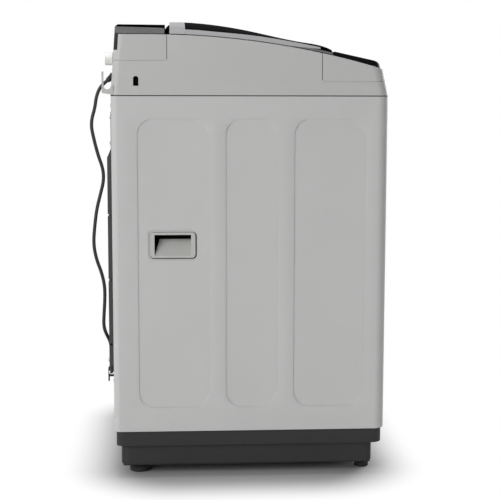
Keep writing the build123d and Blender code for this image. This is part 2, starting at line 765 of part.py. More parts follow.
def button_hole(name, grow):
    """Plan of a button on the panel: round for the two large ones, a short bar for the others."""
    size = BUTTONS[name][1]
    if size > 10:
        return Circle(size + grow)
    return RectangleRounded(2 * (size + 3 + grow), 2 * (size - 2 + grow), 3 + grow)


def control_panel():
    """Black panel that caps the front slope, open below, with holes for the buttons."""
    panel = (panel_space(0) - panel_space(PANEL_SKIN)) - under_line(LID_GAP)
    panel += (panel_space(0) & slab(PANEL_REAR - PANEL_SKIN, PANEL_REAR)) - under_line(LID_GAP)
    for name, (x, _) in BUTTONS.items():
        panel -= panel_frame(x, BUTTON_Y) * Pos(0, 0, -8) * extrude(button_hole(name, 0.3), 12)
    return panel - display_space(0.0)


def display_space(grow):
    """The recess that holds the display window."""
    x0, x1 = DISPLAY_X
    outline = RectangleRounded(x1 - x0 + 2 * grow, DISPLAY_HEIGHT + 2 * grow, 4)
    return panel_frame((x0 + x1) / 2, BUTTON_Y) * Pos(0, 0, -1.6) * extrude(outline, 4)


def display_window():
    """Smoked window over the display, flush with the panel."""
    return display_space(0) & panel_space(0)


def panel_button(name):
    """Push button: cap through the panel, retaining flange and a stem towards the board."""
    x = BUTTONS[name][0]
    frame = panel_frame(x, BUTTON_Y)
    cap = Pos(0, 0, -PANEL_SKIN) * extrude(button_hole(name, 0), PANEL_SKIN + 0.6)
    cap = fillet(cap.edges().group_by(Axis.Z)[-1], 0.4)
    flange = Pos(0, 0, -PANEL_SKIN - 1.5) * extrude(button_hole(name, 1.5), 1.5)
    stem = Pos(0, 0, -PANEL_SKIN - 6.5) * Pos(0, 0, 2.5) * Cylinder(2.5, 5)
    return frame * (cap + flange + stem)


def tray_shape(inset, top_drop):
    """Sloping tray space under the control panel."""
    y0, y1 = PANEL_NOSE + 6 + inset, PANEL_REAR - 4 - inset
    half = 238 - inset
    top = [(y0, panel_height(y0) - top_drop), (y1, panel_height(y1) - top_drop)]
    low = [(y1, panel_height(y1) - 19.5 + inset), (y0, panel_height(y0) - 19.5 + inset)]
    return side_prism(top + low, -half, half)


def panel_housing():
    """Black tray that stands on the deck and holds the control board under the panel."""
    tray = tray_shape(0, PANEL_SKIN + 0.3) - tray_shape(2, -5)
    posts = [panel_frame(x, BUTTON_Y + y) for x in (-215, 0, 228) for y in (-24, 24)]
    for post in posts:
        tray += post * Pos(0, 0, -15.6) * Cylinder(3, 4.2)
    legs = mirrored(block(214, 226, -225, -205, 820, panel_height(-215) - 18.0))
    return tray + (legs - under_line(-DECK_DROP) - tray_shape(0, 0))


def control_board():
    """Circuit board on the tray's posts with switches, chips and connectors."""
    board_top = -PANEL_SKIN - 8.9
    board = panel_frame(6, BUTTON_Y) * Pos(0, 0, board_top - 0.8) * Box(450, 60, 1.6)
    for x, _ in BUTTONS.values():
        switch = Pos(0, 0, board_top + 0.5) * Box(6, 6, 1.0)
        board += panel_frame(x, BUTTON_Y) * switch
    for x, width in ((-30, 80), (-130, 30), (-170, 18), (-205, 14)):
        board += panel_frame(x, BUTTON_Y + 12) * Pos(0, 0, board_top + 2) * Box(width, 16, 4)
    return board


# ---------------------------------------------------------------------------- water system
def drawer_housing():
    """Box behind the loading opening that the detergent drawer slides in."""
    y0, y1 = FUNNEL_REAR + COVER_WALL, 238.0
    x, z0, z1 = DRAWER_X + 2, DRAWER_Z[0], DRAWER_Z[1] + 2
    box = block(-x - 2, x + 2, y0, y1, z0 - 2, z1 + 2) - block(-x, x, y0 - 1, y1 - 2, z0, z1)
    box -= block(-50, 50, y0 + 4, y0 + 18, z0 - 3, z0 + 1)
    return box - rod_x(-x - 3, -x + 1, 205, z1 - 12, 6)


def detergent_drawer():
    """Open drawer with two wells and a front with a finger edge."""
    y0, y1 = FUNNEL_REAR - 1.0, 230.0
    z0, z1 = DRAWER_Z
    body = block(-DRAWER_X, DRAWER_X, y0, y1, z0, z1 - 6)
    body += block(-DRAWER_X, DRAWER_X, y0, y0 + 4, z0, z1)
    body -= block(-DRAWER_X + 2.5, -2, y0 + 5, y1 - 3, z0 + 2.5, z1)
    body -= block(2, DRAWER_X - 2.5, y0 + 5, y1 - 3, z0 + 2.5, z1)
    return body + block(-22, 22, y0 - 8, y0, z1 - 5, z1 - 2)


def inlet_valve():
    """Solenoid valve: threaded stub through the back, body, coil and nozzle to the drawer housing."""
    body = block(INLET_X - 16, INLET_X + 16, 196, 240, INLET_Z - 18, INLET_Z + 16)
    stub = rod_y(240, STUB_END, INLET_X, INLET_Z, INLET_THREAD)
    stub -= rod_y(251, STUB_START, INLET_X, INLET_Z, 20) - rod_y(251, STUB_START, INLET_X, INLET_Z, 12)
    stub -= rod_y(262, BACK, INLET_X, INLET_Z, 9)
    collar = rod_y(240, 250, INLET_X, INLET_Z, INLET_THREAD + 6)
    coil = rod_z(INLET_X, 212, INLET_Z - 52, INLET_Z - 18, 15)
    nozzle = rod_x(INLET_X + 16, -DRAWER_X - 4, 205, DRAWER_Z[1] + 2 - 12, 6)
    bore = rod_x(INLET_X + 24, -DRAWER_X, 205, DRAWER_Z[1] + 2 - 12, 4)
    return body + stub + collar + coil + nozzle - bore


def pressure_sensor():
    """Water level sensor on the drawer housing's side, with a nipple for its air tube."""
    x = DRAWER_X + 4
    disc = rod_x(x, x + 14, 190, 832, 22)
    cap = rod_x(x + 14, x + 20, 190, 832, 14)
    nipple = rod_z(x + 8, 190, 798, 812, 3.5)
    return disc + cap + nipple


def hose_hook():
    """Light grey J-shaped hook on the back, just below the top cover's corner."""
    x0, x1 = -HALF + 2, -HALF + 9
    y0, y1 = REAR - 6, BACK
    centre_y, centre_z, radius = 277.5, 804.7, 7.2
    post = y1 - 3.6
    outline = [(y0, SEAM + 0.5), (y1, SEAM + 4), (y1, 832.5), (post, 832.5), (post, centre_z), (y0, centre_z)]
    hook = side_prism(outline, x0, x1) - rod_x(x0 - 1, x1 + 1, centre_y, centre_z, radius)
    return hook - cover_body(0)


# ---------------------------------------------------------------------------- tub and drive
def polar(radius, angle):
    """Point at a radius and an angle in degrees from the tub's axis."""
    return radius * cos(radians(angle)), MIDDLE + radius * sin(radians(angle))


def ring_z(z0, z1, outer, inner):
    """A ring about the tub's axis."""
    return rod_z(0, MIDDLE, z0, z1, outer) - rod_z(0, MIDDLE, z0 - 1, z1 + 1, inner)


def outer_tub():
    """Plastic water tub with four ears for the hanger rods and a drain neck."""
    tub = rod_z(0, MIDDLE, TUB_BOTTOM, TUB_TOP, TUB_RADIUS)
    tub -= rod_z(0, MIDDLE, TUB_BOTTOM + TUB_WALL, TUB_TOP + 1, TUB_RADIUS - TUB_WALL)
    for z in (430, 560, 690):
        tub += ring_z(z, z + 4, TUB_RADIUS + 5, TUB_RADIUS - 1)
    arm = Pos(0, 0, SPRING_TOP + 12) * extrude(ear_outline(), 16)
    tub += four_corners(arm)
    tub -= rod_z(0, MIDDLE, TUB_BOTTOM - 1, TUB_BOTTOM + 10, 34)
    tub -= rod_z(*polar(150, 40), TUB_BOTTOM - 1, TUB_BOTTOM + 10, 16)
    return tub - four_corners(rod_z(ROD_X, MIDDLE + ROD_Y, SPRING_TOP, SPRING_TOP + 40, ROD_RADIUS + 3))


def ear_outline():
    """Plan of one ear: a tapering arm from the tub to a round eye at the rod."""
    eye = Pos(ROD_X, MIDDLE + ROD_Y) * Circle(17)
    root = Pos(172, MIDDLE + 175) * Circle(30)
    arm = make_hull(eye.edges() + root.edges())
    return arm - Pos(0, MIDDLE) * Circle(TUB_RADIUS - 2)


def spring_seats():
    """Four plastic caps between the tub's ears and the springs."""
    x, y = ROD_X, MIDDLE + ROD_Y
    seat = rod_z(x, y, SPRING_TOP, SPRING_TOP + 12, 17)
    seat -= rod_z(x, y, SPRING_TOP - 1, SPRING_TOP + 13, ROD_RADIUS + 1)
    return four_corners(seat)


def hanger_rods():
    """Four steel rods that hang from the gussets, each with a ball head and a foot plate."""
    x, y = ROD_X, MIDDLE + ROD_Y
    rod = rod_z(x, y, ROD_BOTTOM, GUSSET_Z + 4, ROD_RADIUS)
    head = Pos(x, y, GUSSET_Z + 3) * Sphere(9)
    head &= block(x - 10, x + 10, y - 10, y + 10, GUSSET_Z + 3, GUSSET_Z + 20)
    plate = rod_z(x, y, ROD_BOTTOM + 6, SPRING_BOTTOM, 18)
    return four_corners(rod + head + plate)


def suspension_springs():
    """Four coil springs on the rods' foot plates, which carry the tub by its ears."""
    wire = SPRING_WIRE
    height = SPRING_TOP - SPRING_BOTTOM - 2 * wire - 0.4
    path = Helix(height / SPRING_TURNS, height, SPRING_RADIUS)
    section = Plane(path @ 0, z_dir=path % 0) * Circle(wire)
    spring = Pos(ROD_X, MIDDLE + ROD_Y, SPRING_BOTTOM + wire + 0.2) * sweep(section, path)
    return four_corners(spring)


def tub_cover():
    """Ring that closes the gap between tub and basket at the top."""
    ring = ring_z(TUB_TOP, TUB_TOP + 8, TUB_RADIUS + 3, 206)
    return ring + ring_z(TUB_TOP - 10, TUB_TOP, TUB_RADIUS + 3, TUB_RADIUS)


def wash_basket():
    """Perforated steel drum with ten columns of drain holes and three pressed ribs."""
    wall = ring_z(BASKET_BOTTOM, BASKET_TOP - 32, BASKET_RADIUS, BASKET_RADIUS - BASKET_WALL)
    for z in (372, 520, 650):
        wall += ring_z(z, z + 5, BASKET_RADIUS + 2.5, BASKET_RADIUS - 1)
    rows = range(9)
    hole = Rot(0, 90, 0) * Pos(0, 0, BASKET_RADIUS) * Cylinder(4, 10)
    holes = [
        Pos(0, MIDDLE, BASKET_BOTTOM + 35 + 32 * row) * Rot(0, 0, 18 + 36 * column) * hole
        for row in rows
        for column in range(10)
    ]
    return wall - holes


def balance_ring():
    """Hollow ring of brine on top of the basket that steadies its spin."""
    z0, z1 = BASKET_TOP - 32, BASKET_TOP
    ring = ring_z(z0, z1, BASKET_RADIUS, BALANCE_INNER)
    ring = fillet(ring.edges().filter_by(GeomType.CIRCLE).group_by(Axis.Z)[-1], 6)
    return ring - ring_z(z0 + 3, z1 - 8, BASKET_RADIUS - 3, BALANCE_INNER + 3)


def basket_hub():
    """Cast spider and floor of the basket, bolted to the spin shaft's flange."""
    floor = ring_z(BASKET_BOTTOM - 8, BASKET_BOTTOM, BASKET_RADIUS, SPIN_SHAFT)
    floor += ring_z(BASKET_BOTTOM, BASKET_BOTTOM + 22, BASKET_RADIUS - BASKET_WALL, BASKET_RADIUS - 8)
    for angle in range(0, 360, 60):
        arm = block(20, BASKET_RADIUS - 8, -7, 7, BASKET_BOTTOM - 16, BASKET_BOTTOM - 7)
        floor += Pos(0, MIDDLE, 0) * Rot(0, 0, angle) * arm
    return floor - rod_z(0, MIDDLE, 290, 330, SPIN_SHAFT)


def spin_shaft():
    """Hollow shaft that turns the basket."""
    return ring_z(250, BASKET_BOTTOM + 2, SPIN_SHAFT, WASH_SHAFT + RUNNING_FIT)


def wash_shaft():
    """Inner shaft that turns the pulsator."""
    return rod_z(0, MIDDLE, 240, BASKET_BOTTOM + 24, WASH_SHAFT)


def lint_filters():
    """Two long filter boxes on the basket's wall."""
    z0, z1 = 420, 610
    box = block(BASKET_RADIUS - 24, BASKET_RADIUS - 3, -42, 42, z0, z1)
    box = fillet(box.edges().filter_by(Axis.Z).group_by(Axis.X)[0], 8)
    box -= block(BASKET_RADIUS - 20, BASKET_RADIUS - 2, -38, 38, z0 + 4, z1 - 4)
    box &= rod_z(0, 0, z0, z1, BASKET_RADIUS - BASKET_WALL)
    slot = block(BASKET_RADIUS - 26, BASKET_RADIUS - 15, -30, 30, 0, 5)
    slots = [Pos(0, 0, z) * slot for z in range(z0 + 16, z1 - 14, 14)]
    box = Pos(0, MIDDLE, 0) * (box - slots)
    return box + mirror(box, Plane.YZ)


def pulsator():
    """Dished disc with six curved vanes that stirs the wash."""
    z0 = BASKET_BOTTOM + 6
    disc = rod_z(0, MIDDLE, z0, z0 + 7, PULSATOR_RADIUS)
    dome = Pos(0, MIDDLE, z0) * Cone(70, 34, 34, align=(Align.CENTER, Align.CENTER, Align.MIN))
    vane = Pos(0, 0, z0 + 6) * extrude(
        Pos(100, 0) * SlotOverall(120, 20) - Pos(100, 120) * Circle(118) + Pos(52, 0) * Circle(10), 22
    )
    vane = chamfer(vane.edges().group_by(Axis.Z)[-1], 3)
    body = disc + dome
    for angle in range(0, 360, 60):
        body += Pos(0, MIDDLE, 0) * Rot(0, 0, angle) * vane
    body += ring_z(z0 + 6, z0 + 12, PULSATOR_RADIUS, PULSATOR_RADIUS - 6)
    body -= rod_z(0, MIDDLE, z0 - 1, z0 + 18, WASH_SHAFT)
    return body - rod_z(0, MIDDLE, z0 + 26, z0 + 40, 22)


def pulsator_cap():
    """Round cap over the pulsator's screw."""
    z0 = BASKET_BOTTOM + 32
    cap = rod_z(0, MIDDLE, z0, z0 + 14, 22)
    return fillet(cap.edges().group_by(Axis.Z)[-1], 5)


def tub_bracket():
    """Pressed steel cross under the tub that carries the gearcase, motor and valve."""
    cross = Rectangle(60, 430) + Rectangle(430, 60) + Circle(80) - Circle(30)
    motor_pad = Pos(*polar(MOTOR_OFFSET, MOTOR_ANGLE)) * Circle(76)
    return plan_prism(Pos(0, MIDDLE) * cross + motor_pad, BRACKET_BOTTOM, TUB_BOTTOM)


def gearcase():
    """Clutch, brake and planetary gears in one drum under the tub, with a bearing neck."""
    case = rod_z(0, MIDDLE, 196, BRACKET_BOTTOM, GEARCASE_RADIUS)
    case = fillet(case.edges().group_by(Axis.Z)[0], 8)
    case += rod_z(0, MIDDLE, 178, 197, 34) + rod_z(0, MIDDLE, BRACKET_BOTTOM - 1, BASKET_BOTTOM - 17, 29.7)
    case -= rod_z(0, MIDDLE, 232, 330, SPIN_SHAFT + RUNNING_FIT)
    return case - rod_z(0, MIDDLE, 170, 222, WASH_SHAFT + RUNNING_FIT)


def drive_motor():
    """Induction motor hung under the bracket."""
    x, y = polar(MOTOR_OFFSET, MOTOR_ANGLE)
    can = rod_z(x, y, 184, BRACKET_BOTTOM, 66)
    can = fillet(can.edges().group_by(Axis.Z)[0], 10)
    for z in range(200, 276, 9):
        can -= rod_z(x, y, z, z + 4, 70) - rod_z(x, y, z, z + 4, 63)
    return can + rod_z(x, y, 176, 185, 22) - rod_z(x, y, 150, 192, 6 + RUNNING_FIT)


def pulley(x, y, radius, bore):
    """Grooved belt pulley with a flange above and below the belt."""
    z0, z1 = PULLEY_Z
    wheel = rod_z(x, y, z0, z1, radius + 3)
    groove = rod_z(x, y, z0 + 3, z1 - 3, radius + 4) - rod_z(x, y, z0 + 3, z1 - 3, radius - 4)
    wheel -= groove
    return wheel + rod_z(x, y, z1 - 1, z1 + 8, bore + 6) + rod_z(x, y, z0, z1 + 20, bore)


def drive_pulley():
    """Large pulley on the gearcase's input shaft."""
    x, y = polar(0, 0)
    wheel = pulley(x, y, DRIVE_PULLEY, WASH_SHAFT) + rod_z(x, y, PULLEY_Z[1] + 19, 218, WASH_SHAFT)
    for angle in range(0, 360, 60):
        wheel -= rod_z(*polar(42, angle), PULLEY_Z[0] - 1, PULLEY_Z[1] + 1, 11)
    return wheel


def motor_pulley():
    """Small pulley on the motor's shaft."""
    x, y = polar(MOTOR_OFFSET, MOTOR_ANGLE)
    return pulley(x, y, MOTOR_PULLEY, 6)


def belt_loop(grow):
    """Plan of the loop round both pulley grooves, moved outwards by grow."""
    drive = Pos(*polar(0, 0)) * Circle(DRIVE_PULLEY - 4 + grow)
    motor = Pos(*polar(MOTOR_OFFSET, MOTOR_ANGLE)) * Circle(MOTOR_PULLEY - 4 + grow)
    return make_hull(drive.edges() + motor.edges())


def drive_belt():
    """Belt round the two pulleys, just clear of their grooves."""
    belt = belt_loop(BELT_GAP + 6) - belt_loop(BELT_GAP)
    z0, z1 = PULLEY_Z
    return plan_prism(belt, z0 + 3.5, z1 - 3.5)


def drain_valve():
    """Drain valve on the tub's bottom neck."""
    x, y = polar(150, 40)
    neck = rod_z(x, y, 270, TUB_BOTTOM, 20)
    body = block(x - 28, x + 28, y - 24, y + 24, 228, 271)
    body = fillet(body.edges().filter_by(Axis.Z), 8)
    return body + neck - rod_z(x, y, 240, TUB_BOTTOM + 1, 14)


def drain_motor():
    """Small geared motor that pulls the valve and the brake lever open."""
    x, y = polar(150, 40)
    body = block(x - 76, x - 30, y - 18, y + 22, 240, BRACKET_BOTTOM)
    body = fillet(body.edges().filter_by(Axis.Z), 5)
    return body + rod_x(x - 31, x - 28, y, 256, 5)


def drain_hose():
    """Hose inside the cabinet from the drain valve to the outlet on the back."""
    x, y = polar(150, 40)
    end = (DRAIN_X, REAR - 24, DRAIN_Z)
    route = FilletPolyline(
        (x, y + 24, 250), (x, y + 62, 250), (DRAIN_X, y + 80, DRAIN_Z), end, radius=18
    )
    section = Plane(route @ 0, z_dir=route % 0) * (Circle(16) - Circle(13))
    return sweep(section, route)


def drain_outlet():
    """Outlet on the back that the drain hose pushes onto, with its flange on the back panel."""
    face = REAR - SHEET
    spigot = rod_y(REAR - 20, BACK - 1, DRAIN_X, DRAIN_Z, DRAIN_RADIUS)
    flange = rod_y(face, face + 3, DRAIN_X, DRAIN_Z, DRAIN_RADIUS + 9)
    return spigot + flange - rod_y(REAR - 30, BACK + 1, DRAIN_X, DRAIN_Z, DRAIN_RADIUS - 2.5)


# ---------------------------------------------------------------------------- fasteners
def cabinet_screws():
    """Screws of the back cover and the back panel, heads outside and shanks in the sheet."""
    screws = []
    face = REAR - SHEET
    for z in (240, 690, 742):
        for x in (-228, 228):
            proud = COVER_PLATE if z > BACK_COVER_TOP else PAD_PROUD + SHEET
            screws.append(screw(x, z, face + proud))
    for z in (120, 200, 765):
        for x in (-243, 243):
            screws.append(screw(x, z, face))
    return Compound(children=[s for item in screws for s in item.solids()])


def screw(x, z, seat):
    """One pan head screw on the back, seated on a face at a place along Y."""
    head = rod_y(seat, seat + 2, x, z, 4)
    head -= block(x - 0.5, x + 0.5, seat + 1, seat + 3, z - 2.5, z + 2.5)
    return head - block(x - 2.5, x + 2.5, seat + 1, seat + 3, z - 0.5, z + 0.5)


# ---------------------------------------------------------------------------- power cord
def strain_relief():
    """Rubber bush in the top cover's back, with a tapered sleeve that points down along the cord."""
    tip = Plane(CORD_ROUTE[0], z_dir=Vector(*CORD_ROUTE[1]) - Vector(*CORD_ROUTE[0]))
    bottom = (Align.CENTER, Align.CENTER, Align.MIN)
    sleeve = tip * Pos(0, 0, -16) * Cone(7.5, CORD / 2 + 1, 16, align=bottom)
    collar = rod_y(REAR - 8, REAR + 1, CORD_X, CORD_EXIT_Z, 8.5)
    inside = rod_y(REAR - 14, REAR - 1, CORD_X, CORD_EXIT_Z, BUSH_RADIUS) & cover_body(0)
    return (sleeve + collar - cover_body(0)) + inside


def cord_radii(points):
    """Radius of the arc at each inner point: as large as its two runs allow."""
    radii = []
    for before, here, after in zip(points, points[1:], points[2:]):
        run_in = Vector(*here) - Vector(*before)
        run_out = Vector(*after) - Vector(*here)
        turn = run_in.get_angle(run_out)
        radii.append(0.45 * min(run_in.length, run_out.length) / tan(radians(turn / 2)))
    return radii


def power_cord():
    """Free length of the mains lead as a tube of straight runs and tangent arcs."""
    radii = cord_radii(CORD_ROUTE)
    path = FilletPolyline(*CORD_ROUTE, radius=radii)
    tube = sweep(Plane(path @ 0, z_dir=path % 0) * Circle(CORD / 2), path)
    print("cord radii, mm:", " ".join(f"{radius:.0f}" for radius in radii))
    section = pi * (CORD / 2) ** 2
    ratio = tube.volume / section / path.length
    print(f"cord tube: {path.length:.0f} mm long, volume over section x length {ratio:.4f}")
    return tube


def coil_ring(grow):
    """Ring that the coil fills, standing on the floor."""
    outer = COIL_RADIUS + COIL_WIDTH / 2 + grow
    inner = COIL_RADIUS - COIL_WIDTH / 2 - grow
    height = COIL_HEIGHT + grow
    return rod_z(*COIL_CENTRE, 0, height, outer) - rod_z(*COIL_CENTRE, -1, height + 1, inner)


def cord_coil():
    """Outer shape of the coiled end of the lead."""
    ring = coil_ring(0)
    return chamfer(ring.edges().filter_by(GeomType.CIRCLE).group_by(Axis.Z)[-1], 3)


def cord_tie():
    """Strap over the coil that keeps its turns together."""
    x, y = COIL_CENTRE
    reach = COIL_RADIUS + COIL_WIDTH
    return (coil_ring(1.2) - coil_ring(0)) & block(x - 4, x + 4, y - reach, y, 0, 40)


def plug():
    """Moulded two pin plug with a tapered sleeve, lying on the floor beside the coil."""
    bottom = (Align.CENTER, Align.CENTER, Align.MIN)
    body = Cone(4.8, 6.2, 20, align=bottom)
    body += Pos(0, 0, 20) * Cone(9, 17.5, 24, align=bottom)
    rim = Pos(0, 0, 44) * Cylinder(18, 10, align=bottom)
    body += fillet(rim.edges().filter_by(GeomType.CIRCLE).group_by(Axis.Z)[-1], 2)
    for x in (-9.5, 9.5):
        body += Pos(x, 0, 53) * Cylinder(2.4, 19, align=bottom)
    return Pos(*PLUG_START) * Rot(-90 + PLUG_TILT, 0, 0) * body


def cord_clips():
    """Two black clips on the back that hold the cord, each with a short tail below."""
    face = REAR - SHEET
    y, z = CLIP_HOLE
    x0, x1 = CLIP_X - 6, CLIP_X + 6
    clip = block(x0, x1, face, y + 6.4, z - 8, z + 12)
    clip = fillet(clip.edges().filter_by(Axis.X).group_by(Axis.Y)[-1], 2)
    clip += block(x0, x1, y + 3.6, y + 6.4, z - 18, z)
    return mirrored(clip - rod_x(x0 - 1, x1 + 1, y, z, CORD / 2 + 2.4))


def main():
    """Make every piece and write it."""
    os.makedirs("parts", exist_ok=True)
    pieces = {
        "cabinet_shell": cabinet_shell,
        "side_handles": side_handles,
        "base_frame": base_frame,
        "rear_feet": rear_feet,
        "front_foot_left": lambda: front_foot(-1),
        "front_foot_right": lambda: front_foot(1),
        "back_panel": back_panel,
        "back_cover": back_cover,
        "top_cover": top_cover,
        "rear_deck": rear_deck,
        "lid_glass": lid_glass,
        "lid_frame": lid_frame,
        "lid_grip": lid_grip,
        "lid_rear_rail": lid_rear_rail,
        "hinge_pins": hinge_pins,
        "lid_lock": lid_lock,
        "control_panel": control_panel,
        "display_window": display_window,
        "panel_housing": panel_housing,
        "control_board": control_board,
        "drawer_housing": drawer_housing,
        "detergent_drawer": detergent_drawer,
        "inlet_valve": inlet_valve,
        "pressure_sensor": pressure_sensor,
        "hose_hook": hose_hook,
        "outer_tub": outer_tub,
        "tub_cover": tub_cover,
        "spring_seats": spring_seats,
        "hanger_rods": hanger_rods,
        "suspension_springs": suspension_springs,
        "wash_basket": wash_basket,
        "balance_ring": balance_ring,
        "basket_hub": basket_hub,
        "spin_shaft": spin_shaft,
        "wash_shaft": wash_shaft,
        "lint_filters": lint_filters,
        "pulsator": pulsator,
        "pulsator_cap": pulsator_cap,
        "tub_bracket": tub_bracket,
        "gearcase": gearcase,
        "drive_motor": drive_motor,
        "drive_pulley": drive_pulley,
        "motor_pulley": motor_pulley,
        "drive_belt": drive_belt,
        "drain_valve": drain_valve,
        "drain_motor": drain_motor,
        "drain_hose": drain_hose,
        "drain_outlet": drain_outlet,
        "cabinet_screws": cabinet_screws,
        "strain_relief": strain_relief,
        "power_cord": power_cord,
        "cord_coil": cord_coil,
        "cord_tie": cord_tie,
        "plug": plug,
        "cord_clips": cord_clips,
    }
    for name in BUTTONS:
        pieces[name] = lambda name=name: panel_button(name)
    for name, make in pieces.items():
        save(name, make())


main()
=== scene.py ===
import json
import logging
import math
from dataclasses import dataclass
from enum import Enum

import bmesh
import bpy
from bmesh.types import BMesh, BMFace, BMVert
from bpy.types import Material, Node, NodeSocket, NodeTree, Object
from mathutils import Matrix, Vector

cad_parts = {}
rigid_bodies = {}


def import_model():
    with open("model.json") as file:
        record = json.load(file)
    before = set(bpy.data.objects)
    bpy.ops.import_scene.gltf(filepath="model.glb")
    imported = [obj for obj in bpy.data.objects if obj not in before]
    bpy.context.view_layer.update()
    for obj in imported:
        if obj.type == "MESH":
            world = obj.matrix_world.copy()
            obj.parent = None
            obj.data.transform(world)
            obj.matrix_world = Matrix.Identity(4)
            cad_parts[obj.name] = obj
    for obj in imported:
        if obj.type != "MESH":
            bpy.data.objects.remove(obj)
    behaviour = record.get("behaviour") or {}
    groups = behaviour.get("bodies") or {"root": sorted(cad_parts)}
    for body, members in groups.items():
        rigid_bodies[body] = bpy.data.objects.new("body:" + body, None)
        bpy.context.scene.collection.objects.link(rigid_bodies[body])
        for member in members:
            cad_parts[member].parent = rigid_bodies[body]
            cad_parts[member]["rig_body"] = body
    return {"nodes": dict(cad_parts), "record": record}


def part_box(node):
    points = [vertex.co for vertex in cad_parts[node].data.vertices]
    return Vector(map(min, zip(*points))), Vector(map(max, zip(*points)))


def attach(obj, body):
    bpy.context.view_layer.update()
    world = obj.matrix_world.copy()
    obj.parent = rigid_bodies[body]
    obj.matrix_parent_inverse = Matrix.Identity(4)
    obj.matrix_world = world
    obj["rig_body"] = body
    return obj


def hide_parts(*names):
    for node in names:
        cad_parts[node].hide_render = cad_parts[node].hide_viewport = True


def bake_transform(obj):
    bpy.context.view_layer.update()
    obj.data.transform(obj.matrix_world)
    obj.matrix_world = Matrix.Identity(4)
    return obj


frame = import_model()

logging.basicConfig(level=logging.INFO, format="%(message)s")
LOG = logging.getLogger("washer")
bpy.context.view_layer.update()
SLOT_OF = {part["node"]: part["material_slot"] for part in frame["record"]["subparts"]}

Triple = tuple[float, float, float]

HALF_WIDTH = 0.275
HALF_DEPTH = 0.28
TUB_AXIS_Y = -0.0085
CORD_DIAMETER = 0.007
CORD_EXIT = (-0.238, 0.279, 0.8146)
COIL_CENTRE = (0.3305, 0.190)
PLUG_START = (0.369, 0.224, 0.0055)
PLUG_AXIS = (0.0, 0.9613, 0.2756)

OPEN_BOUNDS = (-1.0, 0.0, 1.0, 2.0)

CORD_ROUTE: list[Triple] = [
    CORD_EXIT,
    (-0.238, 0.2878, 0.8077),
    (-0.238, 0.2963, 0.7963),
    (-0.238, 0.3020, 0.7790),
    (-0.238, 0.3040, 0.7620),
    (-0.239, 0.3135, 0.7290),
    (-0.239, 0.3070, 0.6960),
    (-0.238, 0.2990, 0.6640),
    (-0.2375, 0.2895, 0.6370),
    (-0.2375, 0.2885, 0.6130),
    (-0.238, 0.2955, 0.5860),
    (-0.238, 0.3035, 0.5550),
    (-0.239, 0.3080, 0.5200),
    (-0.239, 0.3110, 0.4840),
    (-0.238, 0.3055, 0.4520),
    (-0.237, 0.2950, 0.4240),
    (-0.237, 0.2890, 0.3950),
    (-0.237, 0.2895, 0.3640),
    (-0.237, 0.2915, 0.3370),
    (-0.236, 0.2925, 0.3160),
    (-0.2325, 0.2900, 0.3015),
    (-0.226, 0.2855, 0.2895),
    (-0.2175, 0.2815, 0.2790),
    (-0.210, 0.2790, 0.2650),
    (-0.207, 0.2780, 0.2480),
    (-0.205, 0.2784, 0.2300),
    (-0.197, 0.2793, 0.2140),
    (-0.1832, 0.2804, 0.2036),
    (-0.166, 0.2812, 0.1992),
    (-0.143, 0.2814, 0.1960),
    (-0.105, 0.2810, 0.1915),
    (-0.060, 0.2805, 0.1875),
    (-0.002, 0.2805, 0.1855),
    (0.058, 0.2805, 0.1870),
    (0.108, 0.2810, 0.1915),
    (0.144, 0.2814, 0.1965),
    (0.168, 0.2812, 0.1985),
    (0.1855, 0.2812, 0.1935),
    (0.1995, 0.2813, 0.1815),
    (0.207, 0.2817, 0.1650),
    (0.210, 0.2825, 0.1440),
    (0.2113, 0.2835, 0.1130),
    (0.2116, 0.2850, 0.0800),
    (0.212, 0.2865, 0.0550),
    (0.2145, 0.2878, 0.0380),
    (0.2195, 0.2888, 0.0220),
    (0.2305, 0.2896, 0.0100),
    (0.246, 0.2902, 0.0039),
    (0.2617, 0.2897, 0.0035),
    (0.2762, 0.2843, 0.0035),
    (0.2866, 0.2726, 0.0035),
    (0.2908, 0.2574, 0.0035),
    (0.2902, 0.2380, 0.0035),
    (0.2886, 0.2190, 0.0035),
    (0.2876, 0.2030, 0.0035),
]


class Grain(Enum):
    """Fine surface of a finish."""

    ENAMEL = "sprayed enamel with a faint ripple"
    TEXTURE = "etched moulding texture"
    GLOSS = "polished moulding"
    BRUSHED_ROUND = "brushed around the tub's axis"
    BRUSHED_FLAT = "brushed along X"
    CAST = "rough casting"
    RUBBER = "dull rubber"
    DIMPLED = "brushed drum wall with pressed dimples"
    THREADED = "thread along Y"
    WEAVE = "extruded cable jacket"


def linear(value: float) -> float:
    """Scene-linear level of a displayed level from 0 to 1."""
    return value / 12.92 if value <= 0.04045 else ((value + 0.055) / 1.055) ** 2.4


def maths(tree: NodeTree, operation: str, first: NodeSocket, second: NodeSocket | float) -> NodeSocket:
    """A Math node.

    Args:
        tree: The node tree to add to.
        operation: The node's operation.
        first: Socket for the first value.
        second: Socket or number for the second value.

    Returns:
        The node's value socket.
    """
    node = tree.nodes.new("ShaderNodeMath")
    node.operation = operation
    tree.links.new(first, node.inputs[0])
    if isinstance(second, (int, float)):
        node.inputs[1].default_value = second
    else:
        tree.links.new(second, node.inputs[1])
    return node.outputs[0]


